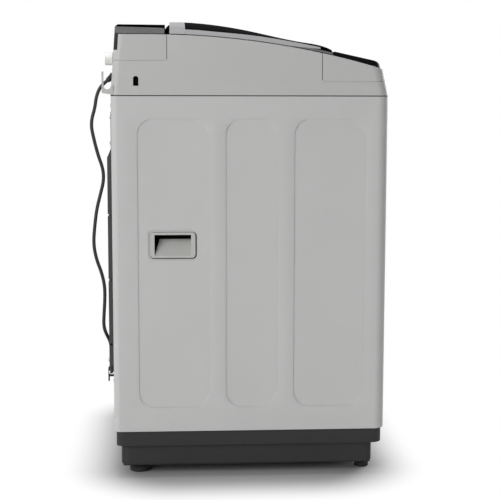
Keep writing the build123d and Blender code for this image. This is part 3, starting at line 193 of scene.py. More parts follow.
@dataclass(frozen=True)
class Finish:
    """How the surface of one material slot looks, as nodes on Object coordinates."""

    slot: str
    colour: Triple
    roughness: float
    grain: Grain
    metallic: float = 0.0
    size: float = 0.0008
    depth: float = 0.12
    drift: float = 0.03
    coat: float = 0.0
    coat_roughness: float = 0.1
    specular: float = 0.5

    def material(self) -> Material:
        """The finish's material, made once.

        Returns:
            The material with its node tree.
        """
        name = f"finish_{self.slot}_{self.grain.name.lower()}"
        found = bpy.data.materials.get(name)
        if found is not None:
            return found
        mat = bpy.data.materials.new(name)
        mat.use_nodes = True
        tree = mat.node_tree
        shader = tree.nodes["Principled BSDF"]
        shader.inputs["Metallic"].default_value = self.metallic
        shader.inputs["Coat Weight"].default_value = self.coat
        shader.inputs["Coat Roughness"].default_value = self.coat_roughness
        shader.inputs["Specular IOR Level"].default_value = self.specular
        self._tone(tree, shader)
        self._bump(tree, shader)
        return mat

    def _coordinates(self, tree: NodeTree, scale: Triple) -> NodeSocket:
        """Object coordinates, stretched.

        Args:
            tree: The material's node tree.
            scale: Repeats per metre along each axis.

        Returns:
            The socket that carries the vector.
        """
        place = tree.nodes.new("ShaderNodeTexCoord")
        mapping = tree.nodes.new("ShaderNodeMapping")
        mapping.inputs["Scale"].default_value = scale
        tree.links.new(place.outputs["Object"], mapping.inputs["Vector"])
        return mapping.outputs["Vector"]

    def _noise(self, tree: NodeTree, scale: Triple, detail: float = 2.0) -> NodeSocket:
        """Noise in Object coordinates.

        Args:
            tree: The material's node tree.
            scale: Repeats per metre along each axis.
            detail: Octaves of the noise.

        Returns:
            The noise's value socket.
        """
        noise = tree.nodes.new("ShaderNodeTexNoise")
        noise.inputs["Scale"].default_value = 1.0
        noise.inputs["Detail"].default_value = detail
        tree.links.new(self._coordinates(tree, scale), noise.inputs["Vector"])
        return noise.outputs["Fac"]

    def _polar(self, tree: NodeTree) -> tuple[NodeSocket, NodeSocket]:
        """Angle around the tub's axis and height.

        Args:
            tree: The material's node tree.

        Returns:
            Sockets with the angle in radians and the height in metres.
        """
        place = tree.nodes.new("ShaderNodeTexCoord")
        parts = tree.nodes.new("ShaderNodeSeparateXYZ")
        shift = maths(tree, "SUBTRACT", parts.outputs["Y"], TUB_AXIS_Y)
        angle = maths(tree, "ARCTAN2", shift, parts.outputs["X"])
        tree.links.new(place.outputs["Object"], parts.inputs["Vector"])
        return angle, parts.outputs["Z"]

    def _tone(self, tree: NodeTree, shader: Node) -> None:
        """Colour and roughness that drift slightly over the surface.

        Args:
            tree: The material's node tree.
            shader: The Principled node to feed.
        """
        cloud = self._noise(tree, (9.0, 9.0, 9.0), 3.0)
        ramp = tree.nodes.new("ShaderNodeValToRGB")
        low = [linear(c) * (1 - self.drift) for c in self.colour]
        high = [linear(c) * (1 + self.drift) for c in self.colour]
        ramp.color_ramp.elements[0].position = 0.3
        ramp.color_ramp.elements[0].color = (*low, 1)
        ramp.color_ramp.elements[1].position = 0.7
        ramp.color_ramp.elements[1].color = (*high, 1)
        tree.links.new(cloud, ramp.inputs["Fac"])
        tree.links.new(ramp.outputs["Color"], shader.inputs["Base Color"])
        shade = tree.nodes.new("ShaderNodeMapRange")
        shade.inputs["To Min"].default_value = max(0.02, self.roughness * 0.88)
        shade.inputs["To Max"].default_value = min(1.0, self.roughness * 1.12)
        tree.links.new(self._noise(tree, (60.0, 60.0, 60.0), 2.0), shade.inputs["Value"])
        tree.links.new(shade.outputs["Result"], shader.inputs["Roughness"])

    def _height(self, tree: NodeTree) -> NodeSocket:
        """The finish's height pattern.

        Args:
            tree: The material's node tree.

        Returns:
            Socket with the height.
        """
        fine = 1.0 / self.size
        if self.grain is Grain.BRUSHED_FLAT:
            return self._noise(tree, (fine * 0.03, fine, fine), 3.0)
        if self.grain is Grain.BRUSHED_ROUND:
            return self._noise(tree, (fine * 0.03, fine * 0.03, fine), 3.0)
        if self.grain is Grain.CAST:
            return self._noise(tree, (fine, fine, fine), 6.0)
        if self.grain is Grain.THREADED:
            rings = tree.nodes.new("ShaderNodeTexWave")
            rings.bands_direction = "Y"
            rings.inputs["Scale"].default_value = 1.0
            tree.links.new(self._coordinates(tree, (fine, fine, fine)), rings.inputs["Vector"])
            return rings.outputs["Fac"]
        if self.grain is Grain.DIMPLED:
            return self._dimples(tree)
        return self._noise(tree, (fine, fine, fine), 2.0)

    def _dimples(self, tree: NodeTree) -> NodeSocket:
        """Rows of shallow pressed lozenges around the drum.

        Args:
            tree: The material's node tree.

        Returns:
            Socket with the height.
        """
        waves_around, row_height = 40.0, 0.036
        angle, height = self._polar(tree)
        around = maths(tree, "SINE", maths(tree, "MULTIPLY", angle, waves_around), 0.0)
        up = maths(tree, "SINE", maths(tree, "MULTIPLY", height, 2 * math.pi / row_height), 0.0)
        lozenge = maths(tree, "ABSOLUTE", maths(tree, "MULTIPLY", around, up), 0.0)
        return maths(tree, "SMOOTH_MIN", lozenge, 0.5)

    def _bump(self, tree: NodeTree, shader: Node) -> None:
        """Bump from the grain.

        Args:
            tree: The material's node tree.
            shader: The Principled node to feed.
        """
        bump = tree.nodes.new("ShaderNodeBump")
        bump.inputs["Strength"].default_value = self.depth
        bump.inputs["Distance"].default_value = self.size * (4.0 if self.grain is Grain.DIMPLED else 0.5)
        tree.links.new(self._height(tree), bump.inputs["Height"])
        tree.links.new(bump.outputs["Normal"], shader.inputs["Normal"])


FINISHES: dict[str, Finish] = {
    finish.slot: finish
    for finish in (
        Finish(
            "painted_steel", (0.728, 0.728, 0.726), 0.5, Grain.ENAMEL,
            size=0.0014, depth=0.05, drift=0.008, specular=0.15,
        ),
        Finish(
            "cover_plastic", (0.70, 0.70, 0.697), 0.45, Grain.TEXTURE,
            size=0.0007, depth=0.06, drift=0.008, specular=0.15,
        ),
        Finish(
            "light_plastic", (0.70, 0.70, 0.69), 0.5, Grain.TEXTURE,
            size=0.0006, depth=0.1, drift=0.015, specular=0.2,
        ),
        Finish(
            "dark_plastic", (0.185, 0.185, 0.19), 0.6, Grain.TEXTURE,
            size=0.0007, depth=0.22, drift=0.04, specular=0.2,
        ),
        Finish(
            "deck_plastic", (0.27, 0.27, 0.275), 0.5, Grain.TEXTURE,
            size=0.0006, depth=0.08, drift=0.02, specular=0.1,
        ),
        Finish(
            "rail_plastic", (0.5, 0.5, 0.505), 0.45, Grain.TEXTURE,
            size=0.0006, depth=0.05, drift=0.02, specular=0.15,
        ),
        Finish(
            "silver_trim", (0.48, 0.48, 0.49), 0.3, Grain.GLOSS,
            metallic=0.85, size=0.0004, depth=0.03, drift=0.02, coat=0.15, coat_roughness=0.06,
        ),
        Finish(
            "grip_plastic", (0.17, 0.17, 0.175), 0.4, Grain.TEXTURE,
            size=0.0006, depth=0.06, drift=0.03, specular=0.2,
        ),
        Finish(
            "panel_plastic", (0.07, 0.07, 0.075), 0.32, Grain.GLOSS,
            size=0.0009, depth=0.03, drift=0.03, specular=0.02,
        ),
        Finish("button_plastic", (0.62, 0.62, 0.63), 0.3, Grain.TEXTURE, size=0.0004, depth=0.05, drift=0.02),
        Finish(
            "lid_glass", (0.02, 0.02, 0.022), 0.06, Grain.GLOSS,
            size=0.004, depth=0.002, drift=0.01, coat=0.02, coat_roughness=0.02, specular=0.0,
        ),
        Finish(
            "smoked_window", (0.05, 0.05, 0.055), 0.16, Grain.GLOSS,
            size=0.003, depth=0.01, drift=0.03, specular=0.03,
        ),
        Finish("tub_plastic", (0.84, 0.845, 0.835), 0.5, Grain.TEXTURE, size=0.001, depth=0.1, drift=0.02),
        Finish("drawer_plastic", (0.80, 0.83, 0.86), 0.32, Grain.TEXTURE, size=0.0008, depth=0.06, drift=0.015),
        Finish(
            "stainless", (0.80, 0.80, 0.805), 0.26, Grain.DIMPLED,
            metallic=1.0, size=0.0006, depth=0.35, drift=0.03,
        ),
        Finish(
            "zinc_steel", (0.74, 0.745, 0.75), 0.34, Grain.BRUSHED_FLAT,
            metallic=1.0, size=0.0005, depth=0.08, drift=0.05,
        ),
        Finish(
            "cast_aluminium", (0.76, 0.76, 0.765), 0.48, Grain.CAST,
            metallic=0.9, size=0.0016, depth=0.3, drift=0.05,
        ),
        Finish("motor_enamel", (0.26, 0.26, 0.265), 0.38, Grain.ENAMEL, size=0.0012, depth=0.12, drift=0.04),
        Finish(
            "gear_steel", (0.70, 0.705, 0.71), 0.4, Grain.BRUSHED_ROUND,
            metallic=0.9, size=0.0006, depth=0.1, drift=0.05,
        ),
        Finish(
            "black_rubber", (0.16, 0.16, 0.16), 0.72, Grain.RUBBER,
            size=0.0009, depth=0.25, drift=0.06, specular=0.3,
        ),
        Finish(
            "cord_rubber", (0.14, 0.14, 0.142), 0.52, Grain.WEAVE,
            size=0.0007, depth=0.15, drift=0.05, specular=0.35,
        ),
        Finish("board_green", (0.13, 0.42, 0.24), 0.3, Grain.GLOSS, size=0.002, depth=0.1, drift=0.1),
    )
}

SHADOW_GAP = Finish(
    "shadow_gap", (0.16, 0.16, 0.163), 0.8, Grain.RUBBER,
    size=0.0008, depth=0.1, drift=0.03, specular=0.05,
)
# Painted shade: a mid-grey for the top cover's grooves, darker where shade falls in them.
GROOVE_SHADE = Finish(
    "groove_shade", (0.36, 0.36, 0.362), 0.7, Grain.TEXTURE,
    size=0.0007, depth=0.05, drift=0.02, specular=0.05,
)
DECK_BLACK = Finish(
    "deck_black", (0.02, 0.02, 0.022), 0.6, Grain.TEXTURE,
    size=0.0007, depth=0.05, drift=0.02, specular=0.0,
)
# Painted shade: darker grey on the lower back of the rear deck, where shade falls under its overhang.
SKIRT_SHADE = Finish(
    "skirt_shade", (0.16, 0.16, 0.162), 0.5, Grain.TEXTURE,
    size=0.0006, depth=0.08, drift=0.02, specular=0.1,
)
# Painted shade: near-black for the inside of the handle cups and the screws' cross recesses, where shade falls.
CUP_SHADE = Finish(
    "cup_shade", (0.06, 0.06, 0.062), 0.9, Grain.RUBBER,
    size=0.0008, depth=0.1, drift=0.03, specular=0.02,
)
THREAD = Finish("thread", (0.90, 0.90, 0.89), 0.4, Grain.THREADED, size=0.0018, depth=0.35, drift=0.01, specular=0.3)
PRINT_WHITE = Finish("print_white", (0.86, 0.86, 0.87), 0.5, Grain.GLOSS, size=0.0005, depth=0.02, drift=0.01)
LED_GREEN = Finish("led_green", (0.62, 0.90, 0.72), 0.3, Grain.GLOSS, size=0.0005, depth=0.02, drift=0.02)


@dataclass
class MeshPiece:
    """A new mesh piece that is made, dressed and given to a body."""

    name: str
    body: str
    slot: str
    replaced: tuple[str, ...] = ()

    def place(self, bm: BMesh, sharp: float = 35.0, finish: Finish | None = None) -> Object:
        """Turn a bmesh into the piece's object.

        Args:
            bm: The finished shape in metres, in the part's frame.
            sharp: Angle in degrees above which an edge stays crisp.
            finish: Finish other than the slot's own.

        Returns:
            The object, riding on its body where it has one.
        """
        mesh = bpy.data.meshes.new(self.name)
        bm.to_mesh(mesh)
        bm.free()
        mesh.shade_smooth()
        mesh.set_sharp_from_angle(angle=math.radians(sharp))
        obj = bpy.data.objects.new(self.name, mesh)
        bpy.context.scene.collection.objects.link(obj)
        obj.data.materials.append((finish or FINISHES[self.slot]).material())
        if self.body:
            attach(obj, self.body)
        if self.replaced:
            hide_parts(*self.replaced)
        LOG.info("%s: %d faces", self.name, len(mesh.polygons))
        return obj


def frame_along(start: Vector, axis: Vector) -> Matrix:
    """Matrix that carries local +Z onto an axis.

    Args:
        start: Where the local origin goes.
        axis: Direction of local +Z.

    Returns:
        The matrix.
    """
    return Matrix.Translation(start) @ axis.to_track_quat("Z", "Y").to_matrix().to_4x4()


def turned(profile: list[tuple[float, float]], steps: int = 48) -> BMesh:
    """Solid of revolution around local Z.

    Args:
        profile: Points (radius, height), first and last on the axis or closed ring.
        steps: Faces around the axis.

    Returns:
        The closed shape.
    """
    bm = bmesh.new()
    verts = [bm.verts.new((r, 0, z)) for r, z in profile]
    edges = [bm.edges.new(pair) for pair in zip(verts, verts[1:])]
    if profile[0][0] > 1e-6 or profile[-1][0] > 1e-6:
        edges.append(bm.edges.new((verts[-1], verts[0])))
    bmesh.ops.spin(
        bm, geom=verts + edges, axis=(0, 0, 1), cent=(0, 0, 0), steps=steps, angle=2 * math.pi, use_merge=True
    )
    bmesh.ops.remove_doubles(bm, verts=bm.verts, dist=1e-6)
    bmesh.ops.recalc_face_normals(bm, faces=bm.faces)
    return bm


def merged_copy(node: str) -> BMesh:
    """A CAD node's shape with its loose triangles joined.

    Args:
        node: The CAD node's name.

    Returns:
        The bmesh, in the part's frame.
    """
    bm = bmesh.new()
    bm.from_mesh(frame["nodes"][node].data)
    for face in bm.faces:
        face.material_index = 0
    bmesh.ops.remove_doubles(bm, verts=bm.verts, dist=2e-6)
    return bm


def joined(parts: list[BMesh]) -> BMesh:
    """Several shapes in one bmesh.

    Args:
        parts: The shapes, which are freed.

    Returns:
        The bmesh that holds them all.
    """
    whole = bmesh.new()
    for part in parts:
        spare = bpy.data.meshes.new("spare")
        part.to_mesh(spare)
        part.free()
        whole.from_mesh(spare)
        bpy.data.meshes.remove(spare)
    return whole


def slab(low: Triple, high: Triple, soft: float = 0.0) -> BMesh:
    """A block with rounded edges.

    Args:
        low: Its lowest corner.
        high: Its highest corner.
        soft: Width of the rounding.

    Returns:
        The closed shape.
    """
    bm = bmesh.new()
    bmesh.ops.create_cube(bm, size=1)
    size = Vector(high) - Vector(low)
    bmesh.ops.scale(bm, verts=bm.verts, vec=size)
    bmesh.ops.translate(bm, verts=bm.verts, vec=Vector(low) + size / 2)
    if soft > 0:
        bmesh.ops.bevel(
            bm, geom=bm.edges, offset=soft, affect="EDGES", segments=2, profile=0.5, material=-1, clamp_overlap=True
        )
    return bm


@dataclass(frozen=True)
class Accent:
    """A region of a node's faces that takes another finish.

    A bound that is one of OPEN_BOUNDS lies clear of the machine or on the floor, so that side is open.
    """

    node: str
    finish: Finish
    low: Triple
    high: Triple
    facing: Triple = (0.0, 0.0, 0.0)
    least: float = 0.0

    def holds(self, face: BMFace) -> bool:
        """Whether a face lies in the region.

        Args:
            face: A face; both sides of the machine count alike, so X is taken without its sign.

        Returns:
            True when the face's centre is in the box and it faces the wanted way.
        """
        centre = face.calc_center_median()
        spot = (abs(centre.x), centre.y, centre.z)
        if not all(a <= c <= b for a, c, b in zip(self.low, spot, self.high)):
            return False
        if not any(self.facing):
            return True
        normal = Vector((math.copysign(face.normal.x, face.normal.x * centre.x), face.normal.y, face.normal.z))
        return normal.dot(Vector(self.facing)) >= self.least

    def score(self, bm: BMesh) -> None:
        """Give the shape edges where the region's closed sides cut it, on both sides of the machine.

        Args:
            bm: The node's merged shape.
        """
        for axis in range(3):
            for bound in (self.low[axis], self.high[axis]):
                if bound in OPEN_BOUNDS:
                    continue
                for side in (1, -1) if axis == 0 else (1,):
                    spot, away = Vector((0, 0, 0)), Vector((0, 0, 0))
                    spot[axis], away[axis] = side * bound, 1.0
                    every = list(bm.verts) + list(bm.edges) + list(bm.faces)
                    bmesh.ops.bisect_plane(bm, geom=every, dist=1e-6, plane_co=spot, plane_no=away)


@dataclass
class CadSkin:
    """Dresses CAD nodes: plain ones keep their mesh, outer ones get crisp, slightly rounded edges."""

    plain: tuple[str, ...]
    rounded: dict[str, float]
    accents: tuple[Accent, ...]
    flared: dict[str, float]
    field_floor: float = 0.2705
    crisp: float = 35.0
    flat: float = 0.4
    sliver: float = 4e-6

    def dress(self) -> None:
        """Give every node its finish and every rounded node its softened copy."""
        for node in self.plain:
            self._paint(node)
        for node, width in self.rounded.items():
            self._soften(node, width)

    def _paint(self, node: str) -> None:
        """Put the slot's finish on a node that keeps its own mesh.

        Args:
            node: The CAD node's name.
        """
        obj = frame["nodes"][node]
        finish = FINISHES[SLOT_OF[node]].material()
        for slot in obj.material_slots:
            slot.link = "OBJECT"
            slot.material = finish
        LOG.info("%s: %s", node, SLOT_OF[node])

    def _flare(self, bm: BMesh, width: float) -> None:
        """Lean the walls of the pressed fields outwards, as drawn sheet metal has them.

        Args:
            bm: The cabinet shell's merged shape.
            width: How far a wall leans out per side, in metres.
        """
        moves: dict[BMVert, Vector] = {}
        for vert in bm.verts:
            if abs(abs(vert.co.x) - HALF_WIDTH) > 1e-5:
                continue
            walls = [
                face for face in vert.link_faces
                if abs(face.normal.x) < 0.05 and min(abs(v.co.x) for v in face.verts) > self.field_floor
                and face.calc_area() > 1e-9
            ]
            if walls:
                lean = sum((face.normal for face in walls), Vector())
                moves[vert] = lean.normalized() * -width
        for vert, move in moves.items():
            vert.co += move

    def _soften(self, node: str, width: float) -> None:
        """Replace a node with a merged copy whose sharp edges are rounded.

        Args:
            node: The CAD node's name.
            width: Width of the rounding in metres, 0 for none.
        """
        bm = merged_copy(node)
        accents = [a for a in self.accents if a.node == node]
        for accent in accents:
            accent.score(bm)
        if node in self.flared:
            self._flare(bm, self.flared[node])
        for index, accent in enumerate(accents, 1):
            for face in bm.faces:
                if accent.holds(face):
                    face.material_index = index
        bmesh.ops.dissolve_limit(
            bm, angle_limit=math.radians(self.flat), verts=bm.verts, edges=bm.edges, delimit={"MATERIAL"}
        )
        if width > 0:
            crisp = math.radians(self.crisp)
            edges = [e for e in bm.edges if len(e.link_faces) == 2 and e.calc_face_angle(0) > crisp]
            bmesh.ops.bevel(
                bm, geom=edges, offset=width, offset_type="OFFSET", affect="EDGES", segments=2,
                profile=0.5, material=-1, clamp_overlap=True, loop_slide=True,
            )
        bmesh.ops.triangulate(bm, faces=[f for f in bm.faces if len(f.verts) > 4])
        bmesh.ops.dissolve_degenerate(bm, dist=self.sliver, edges=bm.edges)
        piece = MeshPiece(f"{node}_skin", frame["nodes"][node]["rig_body"], SLOT_OF[node], (node,))
        obj = piece.place(bm, 32.0)
        for accent in accents:
            obj.data.materials.append(accent.finish.material())
        weighted = obj.modifiers.new("weighted", "WEIGHTED_NORMAL")
        weighted.keep_sharp = True


@dataclass
class Studio:
    """Camera, lamps, background and floor."""

    camera_at: Triple = (-2.776, 0.149, 0.795)
    lens: float = 89.5
    pitch: float = 0.12736
    yaw: float = -0.06246
    roll: float = 0.0021
    sky_front: float = 0.14
    sky_back: float = 0.52
    floor_lit: float = 0.8
    # Painted shadow: the darker tone that rays showing the floor see near the machine, faded to white between the
    # floor_fade distances from the floor_core block.
    floor_painted_shade: float = 0.46
    floor_core: Triple = (0.20, 0.14, 0.0)
    floor_fade: tuple[float, float] = (0.09, 0.25)

    def build(self) -> None:
        """Make everything that isn't part of the machine."""
        self._camera()
        self._world()
        self._floor()
        self._lamp("lamp_side", (-3.6, 3.0, 2.1), (0, 0, 0.45), 2.4, 127.0)
        self._lamp("lamp_front", (2.6, -2.8, 1.7), (0, 0, 0.5), 2.2, 90.0)
        self._lamp("lamp_top", (-0.05, 0.15, 3.0), (-0.05, 0.15, 0), 0.9, 46.0)
        LOG.info("studio ready")

    def _camera(self) -> None:
        """The camera at the low side view."""
        p, w, r = self.pitch, self.yaw, self.roll
        ahead = Vector((math.cos(p) * math.cos(w), math.cos(p) * math.sin(w), -math.sin(p)))
        side = Vector((math.sin(w), -math.cos(w), 0))
        up = side.cross(ahead)
        right = math.cos(r) * side + math.sin(r) * up
        top = -math.sin(r) * side + math.cos(r) * up
        data = bpy.data.cameras.new("camera")
        data.lens = self.lens
        data.sensor_width = 36
        data.clip_end = 60
        camera = bpy.data.objects.new("camera", data)
        turn = Matrix((right, top, -ahead)).transposed().to_4x4()
        camera.matrix_world = Matrix.Translation(self.camera_at) @ turn
        bpy.context.scene.collection.objects.link(camera)
        bpy.context.scene.camera = camera

    def _lamp(self, name: str, at: Triple, aim: Triple, size: float, power: float) -> None:
        """One square soft lamp.

        Args:
            name: The lamp's name.
            at: Where it hangs.
            aim: The point that it faces.
            size: Its side in metres.
            power: Its power in watts.
        """
        data = bpy.data.lights.new(name, "AREA")
        data.size = size
        data.energy = power
        lamp = bpy.data.objects.new(name, data)
        lamp.matrix_world = frame_along(Vector(at), Vector(at) - Vector(aim))
        bpy.context.scene.collection.objects.link(lamp)

    @staticmethod
    def _seen_only(tree: NodeTree) -> NodeSocket:
        """1 for rays that show the background: straight, mirrored or through glass.

        Args:
            tree: The node tree to add to.

        Returns:
            The socket with the value.
        """
        path = tree.nodes.new("ShaderNodeLightPath")
        total = maths(tree, "MAXIMUM", path.outputs["Is Camera Ray"], path.outputs["Is Glossy Ray"])
        return maths(tree, "MAXIMUM", total, path.outputs["Is Transmission Ray"])

    def _world(self) -> None:
        """Soft light that is weaker from the machine's front, white where it is seen."""
        world = bpy.data.worlds.new("world")
        world.use_nodes = True
        tree = world.node_tree
        back = tree.nodes["Background"]
        back.inputs["Color"].default_value = (1, 1, 1, 1)
        place = tree.nodes.new("ShaderNodeTexCoord")
        parts = tree.nodes.new("ShaderNodeSeparateXYZ")
        tree.links.new(place.outputs["Generated"], parts.inputs["Vector"])
        soft = tree.nodes.new("ShaderNodeMapRange")
        soft.inputs["From Min"].default_value = -1.0
        soft.inputs["To Min"].default_value = self.sky_front
        soft.inputs["To Max"].default_value = self.sky_back
        tree.links.new(parts.outputs["Y"], soft.inputs["Value"])
        strength = maths(tree, "MAXIMUM", self._seen_only(tree), soft.outputs["Result"])
        tree.links.new(strength, back.inputs["Strength"])
        bpy.context.scene.world = world

    def _floor(self) -> None:
        """Pale floor that keeps the machine's shadow and adds painted shadow: seen near the machine it has a darker
        tone than for bounced light, fading into the white background.
        """
        bm = bmesh.new()
        bmesh.ops.create_grid(bm, x_segments=1, y_segments=1, size=30)
        mesh = bpy.data.meshes.new("floor")
        bm.to_mesh(mesh)
        bm.free()
        floor = bpy.data.objects.new("floor", mesh)
        mat = bpy.data.materials.new("floor")
        mat.use_nodes = True
        tree = mat.node_tree
        seen = self._seen_only(tree)
        # Painted shadow: rays that show the floor see a darker tone than bounced light does.
        tone = tree.nodes.new("ShaderNodeMapRange")
        tone.inputs["To Min"].default_value = self.floor_lit
        tone.inputs["To Max"].default_value = self.floor_painted_shade
        tree.links.new(seen, tone.inputs["Value"])
        shade = tree.nodes.new("ShaderNodeBsdfDiffuse")
        tree.links.new(tone.outputs["Result"], shade.inputs["Color"])
        far = tree.nodes.new("ShaderNodeMapRange")
        far.interpolation_type = "SMOOTHSTEP"
        far.inputs["From Min"].default_value = self.floor_fade[0]
        far.inputs["From Max"].default_value = self.floor_fade[1]
        tree.links.new(self._clear_of_core(tree), far.inputs["Value"])
        white = tree.nodes.new("ShaderNodeEmission")
        blend = tree.nodes.new("ShaderNodeMixShader")
        tree.links.new(maths(tree, "MULTIPLY", far.outputs["Result"], seen), blend.inputs["Fac"])
        tree.links.new(shade.outputs["BSDF"], blend.inputs[1])
        tree.links.new(white.outputs["Emission"], blend.inputs[2])
        tree.links.new(blend.outputs["Shader"], tree.nodes["Material Output"].inputs["Surface"])
        tree.nodes.remove(tree.nodes["Principled BSDF"])
        mesh.materials.append(mat)
        bpy.context.scene.collection.objects.link(floor)

    def _clear_of_core(self, tree: NodeTree) -> NodeSocket:
        """Distance over the floor from a block at its middle.

        Args:
            tree: The floor material's node tree.

        Returns:
            Socket with the distance in metres.
        """
        step = tree.nodes.new("ShaderNodeTexCoord").outputs["Object"]
        stages = (("ABSOLUTE", None), ("SUBTRACT", self.floor_core), ("MAXIMUM", (0.0, 0.0, 0.0)), ("LENGTH", None))
        for operation, value in stages:
            node = tree.nodes.new("ShaderNodeVectorMath")
            node.operation = operation
            tree.links.new(step, node.inputs[0])
            if value is not None:
                node.inputs[1].default_value = value
            step = node.outputs["Value" if operation == "LENGTH" else "Vector"]
        return step


@dataclass
class MainsLead:
    """The cord with its coil, its strain relief and plug."""

    turns_outer: float = 0.042
    turns_inner: float = 0.035
    turns_top: float = 0.0385
    layer: float = 0.0061
    cross_over: float = 0.0008
    steps: int = 16

    def build(self) -> None:
        """Make the lead with everything on it."""
        plug = self._plug()
        cord = self._cord()
        self._relief()

    def _coil_points(self) -> list[Triple]:
        """The coil's turns, two side by side on the floor and half a turn on top.

        Returns:
            Control points, counter-clockwise from the coil's left side.
        """
        points = []
        swell = 1 / math.cos(math.pi / self.steps)
        low, high = CORD_DIAMETER / 2, CORD_DIAMETER / 2 + self.layer
        for i in range(int(2.5 * self.steps) + 1):
            turn = i / self.steps
            if turn < 0.75:
                radius, height = self.turns_outer, low
            elif turn < 1.0:
                radius, height = self.turns_outer + (turn - 0.75) * 4 * (self.turns_inner - self.turns_outer), low
            elif turn < 1.5:
                radius, height = self.turns_inner, low
            elif turn < 1.75:
                share = (turn - 1.5) * 4
                radius = self.turns_inner + share * (self.turns_top - self.turns_inner)
                height = low + share * (high + self.cross_over - low)
            else:
                radius, height = self.turns_top, high + (self.cross_over if turn < 2.0 else 0.0)
            angle = math.pi + 2 * math.pi * turn
            x = COIL_CENTRE[0] + radius * swell * math.cos(angle)
            points.append((x, COIL_CENTRE[1] + radius * swell * math.sin(angle), height))
        return points

    def _cord(self) -> Object:
        """The free length as one smooth line.

        Returns:
            The curve object.
        """
        ending = [
            (0.3695, 0.2000, 0.0104),
            (0.3692, 0.2100, 0.0092),
            (0.3690, 0.2180, 0.0062),
            PLUG_START,
            tuple(Vector(PLUG_START) + 0.006 * Vector(PLUG_AXIS)),
        ]
        points = CORD_ROUTE + self._coil_points() + ending
        curve = bpy.data.curves.new("mains_cord", "CURVE")
        curve.dimensions = "3D"
        line = curve.splines.new("NURBS")
        line.points.add(len(points) - 1)
        for point, place in zip(line.points, points):
            point.co = (*place, 1)
        line.order_u = 3
        line.use_endpoint_u = True
        line.resolution_u = 8
        curve.bevel_depth = CORD_DIAMETER / 2
        curve.bevel_resolution = 5
        curve.use_fill_caps = True
        curve.materials.append(FINISHES["cord_rubber"].material())
        cord = bpy.data.objects.new("mains_cord", curve)
        bpy.context.scene.collection.objects.link(cord)
        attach(cord, "cabinet")
        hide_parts("power_cord", "cord_coil")
        LOG.info("mains_cord: %d points", len(points))
        return cord

    def _plug(self) -> Object:
        """Moulded plug with a ribbed sleeve, a finger rim and two pins.

        Returns:
            The plug's object.
        """
        profile = [(0, 0.0), (0.0042, 0.0)]
        for k in range(5):
            z = 0.001 + 0.0038 * k
            wide = 0.0046 + 0.00032 * k
            profile += [(wide, z), (wide, z + 0.0022), (wide - 0.0008, z + 0.0026), (wide - 0.0008, z + 0.0034)]
        profile += [(0.0062, 0.0202), (0.0088, 0.0222), (0.0108, 0.0262), (0.0136, 0.0326), (0.0158, 0.0388)]
        profile += [(0.0172, 0.0432), (0.0180, 0.0446), (0.0180, 0.0518), (0.0174, 0.0534), (0.0162, 0.0540)]
        profile += [(0.0150, 0.0538), (0, 0.0538)]
        bm = turned(profile, 56)
        bm.transform(frame_along(Vector(PLUG_START), Vector(PLUG_AXIS)))
        body = MeshPiece("plug_body", "cabinet", SLOT_OF["plug"], ("plug",)).place(bm, 40)
        outline = [(0, 0.0525), (0.0024, 0.0525), (0.0024, 0.0700), (0.0021, 0.0712), (0.0014, 0.0718), (0, 0.0720)]
        pair = []
        for x in (-0.0095, 0.0095):
            pin = turned(outline, 24)
            bmesh.ops.translate(pin, verts=pin.verts, vec=(x, 0, 0))
            pair.append(pin)
        pins = joined(pair)
        pins.transform(frame_along(Vector(PLUG_START), Vector(PLUG_AXIS)))
        metal = MeshPiece("plug_pins", "cabinet", "zinc_steel").place(pins, 40)
        metal.parent = body
        return body

    def _relief(self) -> None:
        """Tapered, ribbed sleeve that turns down with the cord."""
        axis = (Vector(CORD_ROUTE[1]) - Vector(CORD_ROUTE[0])).normalized()
        profile = [(0, -0.016), (0.0075, -0.016)]
        for k in range(4):
            z = -0.0145 + 0.0036 * k
            wide = 0.0074 - 0.0007 * k
            profile += [(wide, z), (wide, z + 0.0020), (wide - 0.0011, z + 0.0024), (wide - 0.0012, z + 0.0032)]
        profile += [(0.0047, -0.0004), (0.0044, 0.0), (0, 0.0)]
        bm = turned(profile, 36)
        bm.transform(frame_along(Vector(CORD_EXIT), axis))
        MeshPiece("relief_sleeve", "cabinet", "black_rubber").place(bm, 40)


